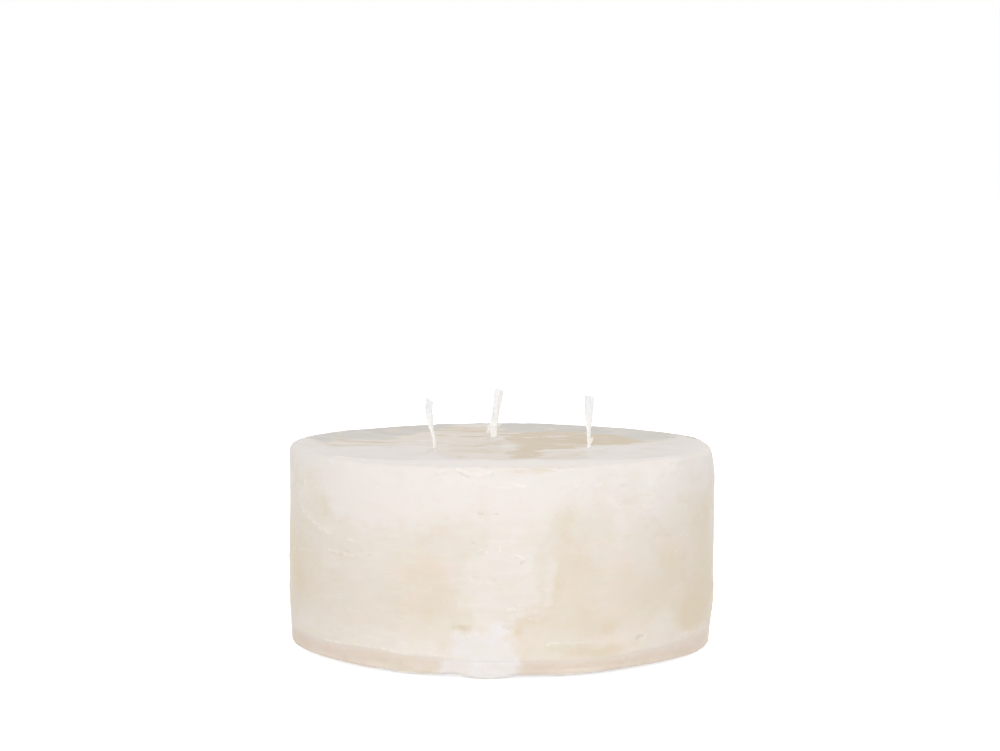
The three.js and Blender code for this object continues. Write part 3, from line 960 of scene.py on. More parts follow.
def makeWaxBody(settings):
    landRadius = waxRadius - settings["rimLand"] - settings["rimRounding"]
    dishRadius = landRadius - settings["dishSlope"]
    dishFloor = waxTop - settings["dishDepth"]
    sinkTop = seamHeight + settings["sinkDepth"]
    bandStart = waxTop - settings["rimBand"]

    def rowSizeAt(radius, height):
        onWall = radius > waxRadius - 0.3
        if height < sinkTop + 0.1 and not onWall:
            return settings["hiddenRow"]
        if radius > waxRadius - settings["rimBand"] and height > bandStart:
            return settings["rimRow"]
        return settings["wallRow"] if onWall else settings["topRow"]

    bm = spinShape([
        (0, sinkTop, 0),
        (settings["sinkFloor"], sinkTop, 0),
        (settings["sinkMouth"], seamHeight, 0),
        (waxRadius, seamHeight, settings["seamRounding"]),
        (waxRadius, bandStart, 0),
        (waxRadius, waxTop, settings["rimRounding"]),
        (landRadius, waxTop, settings["landRounding"]),
        (dishRadius, dishFloor, settings["dishRounding"]),
        (0, dishFloor, 0),
    ], settings["columns"], rowSizeAt)
    refineStrokes(bm, bodyStrokeSlices)
    print("wax body:", len(bm.verts), "points before drilling")
    piece = meshFrom(bm, "wax_body_cast")
    mouthFloor = dishFloor - settings["mouthDepth"]
    drillAtWicks(piece, [
        (settings["boreRadius"], seamHeight - 2),
        (settings["boreRadius"], mouthFloor),
        (settings["mouthRadius"], mouthFloor),
        (settings["mouthRadius"], waxTop + 2),
    ], settings["drillFacets"])
    print("wax body drilled")

    bm = reopened(piece)
    layers = addWaxLayers(bm)
    frostSlices = slicePatches(settings["frostPatches"])
    honeySlices = slicePatches(settings["honeyAndShadePatches"])
    paleSlices = slicePatches(settings["palePatches"])
    for vert in bm.verts:
        point = vert.co / mm
        angle, radius = aroundCandle(point)
        clearWaxLayers(vert, layers)
        onTop = point.z > dishFloor - 0.1 and radius < waxRadius - 0.1
        onWall = radius > waxRadius - settings["rimRounding"] - 0.1 and point.z > seamHeight - 0.01
        outwards = Vector((point.x, point.y, 0)).normalized()
        moved = point.copy()
        fromRim = math.hypot(waxRadius - radius, waxTop - point.z)
        fromSeam = point.z - seamHeight
        # Painted shade along the rim: grey towards the back and faintly at the front
        shadeTurn = settings["shadedRimRight"] if angle > 0 else settings["shadedRimLeft"]
        away = smoothstep(*shadeTurn, abs(angle))
        inMiddle = settings["shadedRimFront"] * smoothstep(45, 20, abs(angle))
        rimShade = smoothstep(1.6, 0.3, fromRim) * max(away, inMiddle)
        vert[layers["rimShade"]] = rimShade
        if onTop:
            inwards = waxRadius - radius
            pool, frost, honey, backShade, inFront = topLayers(settings, point)
            # Painted shade: the top face is darkened away from its front strip
            vert[layers["topShade"]] = smoothstep(1, 9, inwards) * (1 - inFront)
            vert[layers["strip"]] = smoothstep(0.6, 3, inwards) * inFront
            # Painted shade in a band inside the rim towards the back, and over the back of the top
            vert[layers["rimShade"]] = max(rimShade, smoothstep(7, 3, inwards) * away, 0.85 * backShade)
            vert[layers["pool"]] = pool
            vert[layers["frost"]] = frost
            vert[layers["honey"]] = honey
            moved.z += topRelief(settings, point, radius)
        if onWall:
            wander = wanderAt(settings["wallWander"], point)
            there = angle + math.degrees(wander.x / waxRadius)
            up = point.z + wander.z
            edge = boundaryAt(settings["frostEdge"], max(-180, min(180, there)))
            fade = settings["frostFade"]
            frost = settings["frostUnderRim"] * smoothstep(edge - fade, edge + fade, up)
            frost += wallPatches(frostSlices, there, up)
            for layer, amount in (("frost", frost), ("honey", wallPatches(honeySlices, there, up)),
                                  ("strip", wallPatches(paleSlices, there, up))):
                vert[layers[layer]] = max(vert[layers[layer]], amount)
            close = wanderAt(settings["crustWander"], point)
            there = angle + math.degrees(close.x / waxRadius)
            vert[layers["crust"]] = crustAt(crustSlices, there, point.z + close.z)
            vert[layers["veil"]] = crustAt(veilSlices, there, point.z + close.z * 1.5)
            stroke, raised = strokesAt(bodyStrokeSlices, angle, point.z)
            vert[layers["stroke"]] = stroke
            relief = wallRelief(settings, point, angle, point.z) + raised
            worn = dentsAt(seamWearSlices, angle, point.z)
            moved += outwards * (relief * smoothstep(-0.3, 1.5, fromSeam) + worn)
            moved.z += seamWave(angle) * smoothstep(settings["seamFade"], 0, fromSeam)
            vert[layers["blend"]] = seamBlend(fromSeam)
        if onTop or onWall:
            wornDown = rimWearAt(settings, angle, radius, point.z, point) * 0.7
            moved -= (outwards + Vector((0, 0, 1))) * wornDown
        vert.co = moved * mm
    return putBack(bm, piece)


# Wax material. Each wax piece gives its own colours and depths.
def waxMaterial(name, look):
    material, tree, shader = newMaterial(name)
    point = surfacePoint(tree)
    broad = cloud(tree, point, 19, 4, 0.55, 0.4)
    middling = cloud(tree, point, 8, 4, 0.6, 0.5)
    fine = cloud(tree, point, 3, 5, 0.62, 0.6)
    smeared = cloud(tree, stretched(tree, point, (1, 1, 5)), 13, 4, 0.6)
    grain = cloud(tree, point, 0.55, 4, 0.65)
    bands = cloud(tree, stretched(tree, point, (0.42, 1, 1)), 7.5, 4, 0.6, 0.5)

    def times(first, second, clamp=False):
        return maths(tree, "MULTIPLY", first, second, clamp)

    def larger(first, second):
        return maths(tree, "MAXIMUM", first, second)

    def centred(value, amount):
        return times(maths(tree, "SUBTRACT", value, 0.5), amount)

    def added(*values):
        total = values[0]
        for value in values[1:]:
            total = maths(tree, "ADD", total, value)
        return total

    # One of the look's colours over what lies under it
    def painted(under, share, tint):
        return mixColour(tree, share, under, fromScreen(*look[tint]))

    # The wax gets paler from its foot up
    height = tree.nodes.new("ShaderNodeSeparateXYZ")
    plug(tree, point, height.inputs[0])
    heightRamp = tree.nodes.new("ShaderNodeValToRGB")
    heightRamp.color_ramp.interpolation = "EASE"
    highest = look["highest"]
    unevenHeight = added(times(height.outputs["Z"], 1 / (highest * mm)), centred(broad, 0.35))
    plug(tree, unevenHeight, heightRamp.inputs[0])
    stops = heightRamp.color_ramp.elements
    while len(stops) < len(look["colours"]):
        stops.new(0.5)
    for stop, (atHeight, shade) in zip(stops, look["colours"]):
        stop.position = atHeight / highest
        stop.color = fromScreen(*shade)
    colour = heightRamp.outputs[0]

    # Faint clouds of other tints in the wax
    for index, (tint, amount, size) in enumerate(look["tints"]):
        shifted = stretched(tree, point, (1, 1, 1.5), (0.31 * (index + 1), 0.17, 0.05))
        clouds = cloud(tree, shifted, size, 3, 0.5, 0.5)
        share = times(softStep(tree, clouds, 0.5, 0.68), amount)
        colour = mixColour(tree, share, colour, fromScreen(*tint))
    colour = painted(colour, times(softStep(tree, smeared, 0.52, 0.74), look["smear"]), "smearColour")

    # Clear honey-coloured wax, where the frosting is thin, and painted shade at the wall's sides
    honeyField = added(meshValue(tree, "honey"), centred(broad, 1.3), centred(middling, 0.7),
                       centred(fine, 0.2), centred(smeared, 0.5))
    honey = softStep(tree, honeyField, 0.0, 1.0)
    colour = painted(colour, times(honey, look["honey"]), "honeyAndShadeColour")
    colour = painted(colour, meshValue(tree, "blend"), "blendColour")

    # Painted shade darkens and mottles the top away from its front strip; then the pool in the top, with
    # drawn-out bands
    mottledField = added(centred(bands, 1), centred(middling, 1.6), centred(broad, 0.8))
    mottled = softStep(tree, mottledField, -0.3, 0.35)
    lidShade = painted(fromScreen(*look["topShadeColour"]), mottled, "topShadePale")
    colour = mixColour(tree, times(meshValue(tree, "topShade"), look["topShade"]), colour, lidShade)
    ragged = added(centred(broad, 11), centred(middling, 7), centred(fine, 2.5))
    pool = softStep(tree, added(meshValue(tree, "pool"), ragged), -0.6, 1.2)
    deepField = added(meshValue(tree, "honey"), centred(bands, 3.2), centred(fine, 1))
    poolShade = painted(fromScreen(*look["poolColour"]), softStep(tree, deepField, 0.0, 0.95), "poolDark")
    palest = softStep(tree, added(centred(bands, -4), centred(middling, 1.5)), 0.35, 0.75)
    poolShade = painted(poolShade, times(palest, 0.5), "frostColour")
    colour = mixColour(tree, pool, colour, poolShade)

    # Frosting: soft under the rim and at the seam, crisp in the crusts
    frostField = added(meshValue(tree, "frost"), centred(broad, 0.9), centred(middling, 1.0),
                       centred(fine, 0.3), centred(smeared, 0.9))
    soft = times(softStep(tree, frostField, -0.1, 1.1), look["frost"])
    crust = softStep(tree, added(meshValue(tree, "crust"), ragged), -1.3, 2.0)
    crust = times(crust, added(look["crust"], centred(middling, 1.4), centred(fine, 0.6)), True)
    veil = softStep(tree, added(meshValue(tree, "veil"), times(ragged, 1.3)), -1.6, 2.4)
    veilDepth = added(look["veil"], centred(smeared, 0.8), centred(middling, 0.9), centred(fine, 0.3))
    thinFrost = larger(soft, times(veil, veilDepth, True))
    frosting = larger(thinFrost, crust)
    colour = painted(colour, thinFrost, "frostColour")
    colour = painted(colour, crust, "crustColour")
    strip = times(meshValue(tree, "strip"), added(look["strip"], centred(middling, 0.8)), True)
    colour = painted(colour, strip, "stripColour")

    # Painted shade as a greyer rim, then fine lines and specks, whose pale and dark colours partly paint
    # highlights and shadows
    rimShadeField = added(meshValue(tree, "rimShade"), centred(middling, 1.6), centred(bands, 1))
    colour = painted(colour, times(softStep(tree, rimShadeField, 0.25, 0.95), look["rimShade"]), "rimShadeColour")
    gaps = cloud(tree, stretched(tree, point, (1, 1, 1.6), (2, 0, 1)), 1.8, 3, 0.6)
    brokenUp = added(0.12, times(softStep(tree, gaps, 0.38, 0.62), 0.9))
    stroke = times(meshValue(tree, "stroke"), brokenUp)
    for line, tint in ((stroke, "paleAndHighlightColour"), (times(stroke, -1), "scarAndShadowColour")):
        colour = painted(colour, times(softStep(tree, line, 0.04, 0.95), look["lines"]), tint)
    # Flecks: the pale ones paint small glints of the rough surface, the dark ones are specks
    flecks = cloud(tree, stretched(tree, point, (1, 1, 2.6), (5, 2, 0)), 1.7, 2, 0.5)
    paleFlecks = times(softStep(tree, flecks, 0.66, 0.74), softStep(tree, middling, 0.5, 0.65))
    colour = painted(colour, times(paleFlecks, look["flecks"]), "paleAndHighlightColour")
    darkFlecks = times(softStep(tree, flecks, 0.33, 0.26), softStep(tree, middling, 0.5, 0.4))
    colour = painted(colour, times(darkFlecks, 0.75 * look["flecks"]), "scarAndShadowColour")
    # Painted light: the foot's lowest edge is lightened, standing in for light that fills the shade under its
    # rounding
    colour = painted(colour, times(meshValue(tree, "edge"), look["edge"]), "edgeLightColour")
    plug(tree, colour, shader.inputs["Base Color"])

    # Clear wax is glossier than frosted wax
    clear = larger(pool, times(honey, 0.4))
    roughness = added(look["roughness"], times(clear, -look["clearGloss"]), times(frosting, 0.15),
                      centred(grain, 0.25), centred(smeared, 0.2))
    plug(tree, larger(roughness, 0.12), shader.inputs["Roughness"])
    scratches = cloud(tree, stretched(tree, point, (1, 1, 14), (3, 1, 0)), 9, 3, 0.5)
    grit = times(grain, added(0.08, times(frosting, 0.2)))
    bump = added(times(middling, 0.9), times(fine, 0.6), times(scratches, 0.4), times(paleFlecks, 0.25), grit)
    addBump(tree, shader, bump, look["bump"])

    shader.inputs["IOR"].default_value = 1.43
    shader.inputs["Specular IOR Level"].default_value = look["specular"]
    shader.inputs["Subsurface Weight"].default_value = look["scatter"]
    shader.inputs["Subsurface Radius"].default_value = (1.0, 0.72, 0.5)
    shader.inputs["Subsurface Scale"].default_value = look["scatterDepth"] * mm
    return material


bodyLook = {
    "highest": 70,
    "colours": [(7, (234, 226, 216)), (13, (230, 221, 209)), (25, (227, 218, 206)), (46, (229, 221, 211)),
                (60, (233, 227, 219)), (70, (235, 229, 223))],
    "tints": [((235, 220, 208), 0.5, 16), ((227, 223, 206), 0.45, 12), ((225, 211, 192), 0.35, 8)],
    "smear": 0.35,
    "smearColour": (236, 229, 218),
    "honey": 0.8,
    "honeyAndShadeColour": (222, 207, 182),
    "blendColour": (226, 214, 203),
    # Painted light for the foot's lowest edge
    "edge": 0.85,
    "edgeLightColour": (255, 252, 246),
    "strip": 0.8,
    "stripColour": (245, 238, 232),
    # Painted shade of the top face, mottled between its two colours
    "topShade": 0.7,
    "topShadeColour": (218, 211, 202),
    "topShadePale": (232, 223, 216),
    "poolColour": (225, 214, 201),
    "poolDark": (206, 188, 159),
    "frost": 0.8,
    "frostColour": (236, 230, 226),
    "crust": 0.72,
    "crustColour": (235, 231, 230),
    "veil": 0.5,
    # Painted shade of the rim
    "rimShade": 0.8,
    "rimShadeColour": (203, 199, 194),
    "lines": 0.7,
    "flecks": 0.6,
    # The pale colour partly paints highlights and the scar colour partly paints shadows
    "paleAndHighlightColour": (243, 237, 229),
    "scarAndShadowColour": (212, 200, 180),
    "roughness": 0.55,
    "clearGloss": 0.2,
    "bump": 0.16,
    "specular": 0.15,
    "scatter": 0.25,
    "scatterDepth": 0.7,
}
body = makeWaxBody(waxBody)
finishPiece(body, waxMaterial("body_wax", bodyLook), "body_wax", "wax_body")
print("wax body made:", len(body.data.polygons), "faces")


# Foot, which is the second pour of wax
foot = {
    "columns": 430,
    "wallRow": 0.6,
    "hiddenRow": 9,
    "inset": 0.4,
    "upperBulge": 0.26,  # brings the foot's upper edge out towards the wall above
    "edgeRounding": 2.6,
    "liftHeight": 5,
    # How far the lower edge stays off the ground: angle, height.
    "lowerLift": [(-180, 0.6), (-120, 0.9), (-92, 1.3), (-80, 1.5), (-62, 1.6), (-48, 1.6), (-36, 1.1),
                  (-32, 1.25), (-29, 0.8), (-24, 0.7), (-17, 1.0), (-12.5, 1.7), (-8.5, 0.4), (-4, 0),
                  (0.5, 0.5), (4, 1.3), (9, 1.15), (16, 0.75), (24, 0.85), (30, 1.15), (38, 1.45), (50, 1.4),
                  (67, 1.1), (80, 1.4), (95, 1.2), (120, 0.8), (180, 0.6)],
    "topRounding": 0.08,
    "plugGap": 0.3,
    "pocketRadius": 9.3,
    "pocketDepth": 1,
    "drillFacets": 64,
    "lumps": [(18, 0.14), (5, 0.1)],
    "dents": [
        (-25.5, 1.2, 6, 2.2, 0.5),
        (-34, 3.6, 4, 1.2, 0.2),
        (-52, 4.2, 7, 1.6, 0.25),
        (20, 3.4, 8, 1.4, 0.2),
        (118, 3.5, 6, 2, 0.35),
        (-150, 4, 8, 1.8, 0.3),
    ],
    # Fine lines as on the body: the pale raised ones partly paint a highlight, the dark sunk ones a shadow
    "strokes": [
        (0.35, -0.9, -0.3, [(31.9, 3.9), (32.4, 3.7)]),
        (0.5, 0.5, 0.12, [(-31, 2.0), (-27, 1.2), (-24, 1.4)]),
        (0.4, 0.4, 0.1, [(-47, 4.2), (-42, 3.6)]),
        (0.4, -0.3, -0.1, [(14, 5.6), (24, 5.9)]),
        (0.4, 0.35, 0.1, [(40, 3.4), (47, 3.8)]),
    ],
    "unseenStrokes": (22, (1.5, 5.5), 31),
    "honeyAndShadePatches": [
        (-68, 4, 12, 5, 0.7),
        (-42, 4.5, 12, 3, 0.2),
        (10, 4, 9, 3.4, 0.55),
        (25, 6, 6, 2, 0.2),
        (36, 4, 14, 3, 0.35),
        (54, 4.5, 9, 4, 0.6),
        (72, 4, 12, 4, 0.6),
        (130, 4, 20, 4, 0.7),
        (-130, 4, 22, 4, 0.6),
    ],
    "frostPatches": [
        (86, 3, 8, 5, 0.8),
        (-29, 1.0, 3, 1.4, 0.6),
        (170, 3, 14, 5, 0.8),
        (-98, 3, 9, 5, 0.6),
        (54, 5.6, 12, 1.6, 0.3),
    ],
    "crusts": [
        (0, [(-15.4, 9), (-15.8, 5), (-16.4, 2), (-15.6, -1), (3, -1), (3.8, 2.5), (3.2, 6), (3, 9)]),
        (0, [(126, 9), (124, 4), (127, -1), (146, -1), (144, 9)]),
        (0, [(-172, 9), (-174, 4), (-171, -1), (-156, -1), (-158, 9)]),
    ],
}


def makeFoot(settings):
    radius = waxRadius - settings["inset"]
    plugTop = footHigh.z

    def rowSizeAt(ringRadius, height):
        onWall = ringRadius > radius - settings["edgeRounding"] - 0.1 and height < seamHeight - 0.01
        return settings["wallRow"] if onWall else settings["hiddenRow"]

    bm = spinShape([
        (0, 0, 0),
        (radius, 0, settings["edgeRounding"]),
        (radius, seamHeight, settings["topRounding"]),
        (waxBody["sinkMouth"] - settings["plugGap"], seamHeight, 0),
        (waxBody["sinkFloor"] - settings["plugGap"], plugTop, 0),
        (0, plugTop, 0),
    ], settings["columns"], rowSizeAt, 10)
    strokeSlices = slicedLines(settings["strokes"] + unseenStrokes(*settings["unseenStrokes"]))
    refineStrokes(bm, strokeSlices)
    piece = meshFrom(bm, "foot_second_pour")
    drillAtWicks(piece, [
        (settings["pocketRadius"], -2),
        (settings["pocketRadius"], settings["pocketDepth"]),
        (waxBody["boreRadius"], settings["pocketDepth"]),
        (waxBody["boreRadius"], plugTop + 2),
    ], settings["drillFacets"])

    bm = reopened(piece)
    layers = addWaxLayers(bm)
    frostSlices = slicePatches(settings["frostPatches"])
    honeySlices = slicePatches(settings["honeyAndShadePatches"])
    footDents = slicePatches(settings["dents"])
    footCrusts = slicedLines(settings["crusts"])
    for vert in bm.verts:
        point = vert.co / mm
        angle, away = aroundCandle(point)
        clearWaxLayers(vert, layers)
        if away < radius - settings["edgeRounding"] - 0.5:
            continue
        vert[layers["frost"]] = wallPatches(frostSlices, angle, point.z)
        vert[layers["honey"]] = wallPatches(honeySlices, angle, point.z)
        vert[layers["crust"]] = crustAt(footCrusts, angle, point.z)
        stroke, raised = strokesAt(strokeSlices, angle, point.z)
        vert[layers["stroke"]] = stroke
        outwards = Vector((point.x, point.y, 0)).normalized()
        relief = lumpsAt(settings["lumps"], point) + raised
        relief += dentsAt(footDents, angle, point.z)
        keep = smoothstep(0, 1.5, point.z) * smoothstep(0, 1.0, seamHeight - point.z)
        bulge = settings["upperBulge"] * smoothstep(2.5, 6, point.z)
        moved = point + outwards * (relief * keep + bulge + dentsAt(seamWearSlices, angle, point.z))
        lifted = max(0, 1 - point.z / settings["liftHeight"]) ** 2
        moved.z += boundaryAt(settings["lowerLift"], angle) * lifted
        moved.z += seamWave(angle) * smoothstep(3, 7, point.z)
        vert[layers["blend"]] = seamBlend(seamHeight - point.z)
        # Painted light: the lowest part of the foot, below about 1.7 mm, gets a lighter colour that fills the
        # shade under its rounded edge
        vert[layers["edge"]] = smoothstep(1.7, 0.4, point.z)
        vert.co = moved * mm
    return putBack(bm, piece)


footLook = {
    **bodyLook,
    "highest": 7,
    # The palest stop, at the very foot, is painted light that lifts the shade under the rounded lower edge
    "colours": [(0.8, (244, 235, 225)), (2.2, (232, 220, 207)), (5, (226, 213, 202)), (7, (225, 212, 201))],
    "blendColour": (233, 225, 215),
    "tints": [((230, 210, 198), 0.6, 14), ((222, 212, 192), 0.5, 10), ((220, 202, 186), 0.4, 6)],
    "smearColour": (232, 220, 207),
    "honeyAndShadeColour": (217, 199, 178),
    "crustColour": (236, 233, 232),
    "crust": 0.8,
    "roughness": 0.5,
    "bump": 0.12,
}
footPiece = makeFoot(foot)
finishPiece(footPiece, waxMaterial("foot_wax", footLook), "foot_wax", "foot_pour")
print("foot made:", len(footPiece.data.polygons), "faces")


# Wicks: flat plaits of cotton yarn, primed with wax
wicks = {
    "width": 2.5,
    "thickness": 1.1,
    "tipSpread": 1.12,
    "strands": 3,
    "strandHalfWidth": 0.56,
    "strandHalfThickness": 0.31,
    "yarns": 7,  # twisted together in each strand
    "yarnDepth": 0.05,  # groove between two yarns, as a share of the strand's half width
    "yarnTwist": 2.6,  # length of one turn of a strand's yarns
    "strandSides": 28,
    "pitch": 6.6,  # length in which a strand crosses over and comes back
    "ringsPerMm": 4,
    "primedWidth": 2.36,  # the wax-filled heart of the plait
    "primedThickness": 0.92,
    "bendOffset": 2,
    "snipStart": 0.7,
    "coreSides": 20,
    "fibreRadius": 0.045,
    "looseYarnRadius": 0.26,
    "footHeight": 0.6,  # where a wick stands in its sustainer
    "coreRings": 30,
    "coreSunk": 0.12,  # the heart ends this far below the strands
    "endFibres": 26,
    "sideFibres": 40,
    "straysPerBend": 9,
    # Share of the length, then the bend to the right and to the back as shares of bendOffset.
    # paintedLight at 1 paints the rear wick's cotton lighter than the two wicks that stand edge-on, as lit
    # and shaded copies of one cotton
    "left": {"length": 18.3, "snip": 1.1, "frontSnip": 0.3, "turns": (76, 14), "turned": (0.3, 0.64),
             "footSpread": 0, "tipFlare": 0.08, "dryFrom": 8.8, "paintedLight": 0,
             "bends": [(0, 0, 0), (0.16, -0.05, 0), (0.31, -0.35, 0.05), (0.45, -0.68, 0.1),
                       (0.58, -0.88, 0.15), (0.72, -0.99, 0.2), (0.86, -1, 0.2), (1, -0.9, 0.25)]},
    "rear": {"length": 18.1, "snip": 0.2, "frontSnip": 0.1, "turns": (25, 4), "turned": (0, 0.6),
             "footSpread": 0.2, "tipFlare": 0.27, "dryFrom": 4.9, "paintedLight": 1,
             "bends": [(0, 0, 0), (0.16, -0.03, 0), (0.31, 0.05, -0.05), (0.45, 0.25, -0.1),
                       (0.58, 0.45, -0.15), (0.72, 0.65, -0.15), (0.86, 0.8, -0.2), (1, 0.92, -0.2)]},
    "right": {"length": 19.2, "snip": 0.8, "frontSnip": 1.5, "turns": (66, -6), "turned": (0.28, 0.6),
              "footSpread": 0, "tipFlare": 0.3, "dryFrom": 8.4, "paintedLight": 0,
              "bends": [(0, 0, 0), (0.16, 0, 0.05), (0.31, -0.05, 0.1), (0.45, -0.08, 0.15),
                        (0.58, -0.05, 0.2), (0.72, 0, 0.25), (0.86, 0.05, 0.3), (1, 0.13, 0.35)]},
}
# Loose ends of yarn that have come out of the plait, from the middle of the wick's foot
wicks["rear"]["looseYarns"] = [
    [(-0.6, -0.5, 4.6), (-1.2, -0.8, 4.7), (-1.8, -0.9, 4.0), (-2.2, -0.9, 3.0), (-2.4, -0.9, 2.4)],
    [(-0.6, -0.6, 3.4), (-0.9, -0.8, 4.0), (-1.4, -1.0, 4.2), (-1.8, -1.0, 3.2), (-1.9, -1.0, 2.5)],
    [(-0.5, -0.5, 5.1), (-1.2, -0.7, 5.2), (-1.9, -0.7, 4.7), (-2.5, -0.7, 4.6)],
    [(0.2, -0.7, 4.9), (-0.2, -0.9, 4.4), (-0.5, -1.0, 3.2), (-0.4, -1.0, 1.9)],
    [(0.5, -0.5, 4.6), (1.1, -0.7, 5.1), (1.8, -0.7, 4.9), (2.5, -0.6, 5.2)],
]
wicks["right"]["looseYarns"] = [
    [(0.35, -0.5, 2.1), (0.8, -0.6, 2.6), (1.1, -0.6, 3.3), (0.9, -0.6, 3.9)],
    [(0.9, 0.4, 17.2), (1.35, 0.3, 18.1), (1.9, 0.2, 18.4), (2.3, 0.2, 17.9)],
    [(-0.7, 0.4, 17.6), (-1.1, 0.3, 18.4), (-1.3, 0.2, 18.9)],
]
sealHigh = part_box("wick_seal_left")[1].z / mm
collarHeight = 0.7
dishFloor = sealHigh - collarHeight


# Centre of a wick and its three directions, at a share of its free length.
def alongWick(side, share):
    wick = wicks[side]
    rows = wick["bends"]
    found = max(0, min(len(rows) - 2, sum(1 for row in rows if row[0] <= share) - 1))
    before, start, end, after = (rows[max(0, min(len(rows) - 1, found + step))] for step in (-1, 0, 1, 2))
    part = (share - start[0]) / (end[0] - start[0])

    def curved(column):
        slopeIn = (end[column] - before[column]) / 2
        slopeOut = (after[column] - start[column]) / 2
        square, cube = part * part, part * part * part
        return ((2 * cube - 3 * square + 1) * start[column] + (cube - 2 * square + part) * slopeIn
                + (3 * square - 2 * cube) * end[column] + (cube - square) * slopeOut)

    offset = wicks["bendOffset"]
    place = wickPlaces[side]
    height = blendNumbers(dishFloor + collarHeight, dishFloor + wick["length"], share)
    return Vector((place.x + offset * curved(1), place.y + offset * curved(2), height))


def spreadAt(side, share):
    wick = wicks[side]
    spread = blendNumbers(1, wicks["tipSpread"], share) + wick["tipFlare"] * smoothstep(0.45, 0.9, share)
    return spread + wick["footSpread"] * smoothstep(0, 0.1, share) * smoothstep(0.55, 0.2, share)


def wickDirections(side, share):
    low, high = max(0, share - 0.02), min(1, share + 0.02)
    lengthwise = (alongWick(side, high) - alongWick(side, low)).normalized()
    startTurn, endTurn = wicks[side]["turns"]
    turn = math.radians(blendNumbers(startTurn, endTurn, smoothstep(*wicks[side]["turned"], share)))
    widthwise = Vector((math.cos(turn), math.sin(turn), 0))
    widthwise = (widthwise - lengthwise * widthwise.dot(lengthwise)).normalized()
    return widthwise, widthwise.cross(lengthwise), lengthwise


# A tube through closed rings of points, each ring with the same count of points.
def sweepRings(bm, rings):
    around = bm.verts.layers.int.get("around") or bm.verts.layers.int.new("around")
    ring = bmesh.ops.create_circle(bm, cap_ends=False, segments=len(rings[0]), radius=mm)["verts"]
    for index, vert in enumerate(ring):
        vert[around] = index
    edges = list({edge for vert in ring for edge in vert.link_edges})
    bmesh.ops.contextual_create(bm, geom=edges)
    for index, points in enumerate(rings):
        if index:
            made = bmesh.ops.extrude_edge_only(bm, edges=edges)["geom"]
            ring = [part for part in made if isinstance(part, bmesh.types.BMVert)]
            fresh = set(ring)
            edges = [part for part in made
                     if isinstance(part, bmesh.types.BMEdge) and set(part.verts) <= fresh]
        for vert in ring:
            vert.co = points[vert[around]] * mm
    bmesh.ops.contextual_create(bm, geom=edges)


def addFibre(curve, points):
    spline = curve.splines.new("POLY")
    spline.points.add(len(points) - 1)
    for index, point in enumerate(points):
        spline.points[index].co = (*(point * mm), 1)
        spline.points[index].radius = blendNumbers(1, 0.5, index / len(points))
    spline.use_smooth = True


def newFibreCurve(name, radius, sides):
    curve = bpy.data.curves.new(name, "CURVE")
    curve.dimensions = "3D"
    curve.bevel_depth = radius * mm
    curve.bevel_resolution = sides // 2 - 2
    curve.use_fill_caps = True
    return curve


def curveMesh(curve):
    carrier = bpy.data.objects.new(curve.name, curve)
    bpy.context.scene.collection.objects.link(carrier)
    bpy.context.view_layer.update()
    mesh = bpy.data.meshes.new_from_object(carrier.evaluated_get(bpy.context.evaluated_depsgraph_get()))
    bpy.data.objects.remove(carrier)
    return mesh


# How much lower the snipped end is at a place across the wick.
def snippedBy(side, share, across, depth):
    wick = wicks[side]
    slant = wick["snip"] * (across / wicks["width"] + 0.5)
    slant += wick["frontSnip"] * (0.5 - depth / wicks["thickness"])
    return slant * smoothstep(wicks["snipStart"], 1, share)


def strandCentre(side, share, strand):
    length = wicks[side]["length"] - collarHeight
    widthwise, through, lengthwise = wickDirections(side, share)
    spread = spreadAt(side, share)
    phase = 2 * math.pi * (share * length / wicks["pitch"] + strand / wicks["strands"])
    across = (wicks["width"] / 2 - wicks["strandHalfWidth"]) * math.cos(phase) * spread
    depth = (wicks["thickness"] / 2 - wicks["strandHalfThickness"]) * math.sin(2 * phase) * spread
    return alongWick(side, share) + widthwise * across + through * depth


def strandRing(side, share, strand):
    length = wicks[side]["length"] - collarHeight
    widthwise, through, lengthwise = wickDirections(side, share)
    centre = strandCentre(side, share, strand)
    run = (strandCentre(side, share + 0.01, strand) - strandCentre(side, share - 0.01, strand)).normalized()
    flatwise = (through - run * through.dot(run)).normalized()
    sidewise = run.cross(flatwise)
    swell = 1 + 0.04 * math.sin(share * length * 2.1 + strand * 2)
    twist = 2 * math.pi * share * length / wicks["yarnTwist"]
    groove = wicks["yarnDepth"]
    points = []
    for index in range(wicks["strandSides"]):
        turn = 2 * math.pi * index / wicks["strandSides"]
        yarn = abs(math.cos((turn * wicks["yarns"] - twist) / 2))
        reach = (1 - groove + groove * yarn * 1.6) * swell
        point = (centre + sidewise * math.cos(turn) * wicks["strandHalfWidth"] * reach
                 + flatwise * math.sin(turn) * wicks["strandHalfThickness"] * reach)
        off = point - alongWick(side, share)
        points.append(point - lengthwise * snippedBy(side, share, off.dot(widthwise), off.dot(through)))
    return points


def ovalRing(side, share, width, thickness):
    widthwise, through, lengthwise = wickDirections(side, share)
    centre = alongWick(side, share)
    points = []
    for index in range(wicks["coreSides"]):
        turn = 2 * math.pi * index / wicks["coreSides"]
        across, depth = math.cos(turn) * width / 2, math.sin(turn) * thickness / 2
        points.append(centre + widthwise * across + through * depth
                      - lengthwise * snippedBy(side, share, across, depth))
    return points


def lowered(points, height):
    return [Vector((point.x, point.y, height)) for point in points]


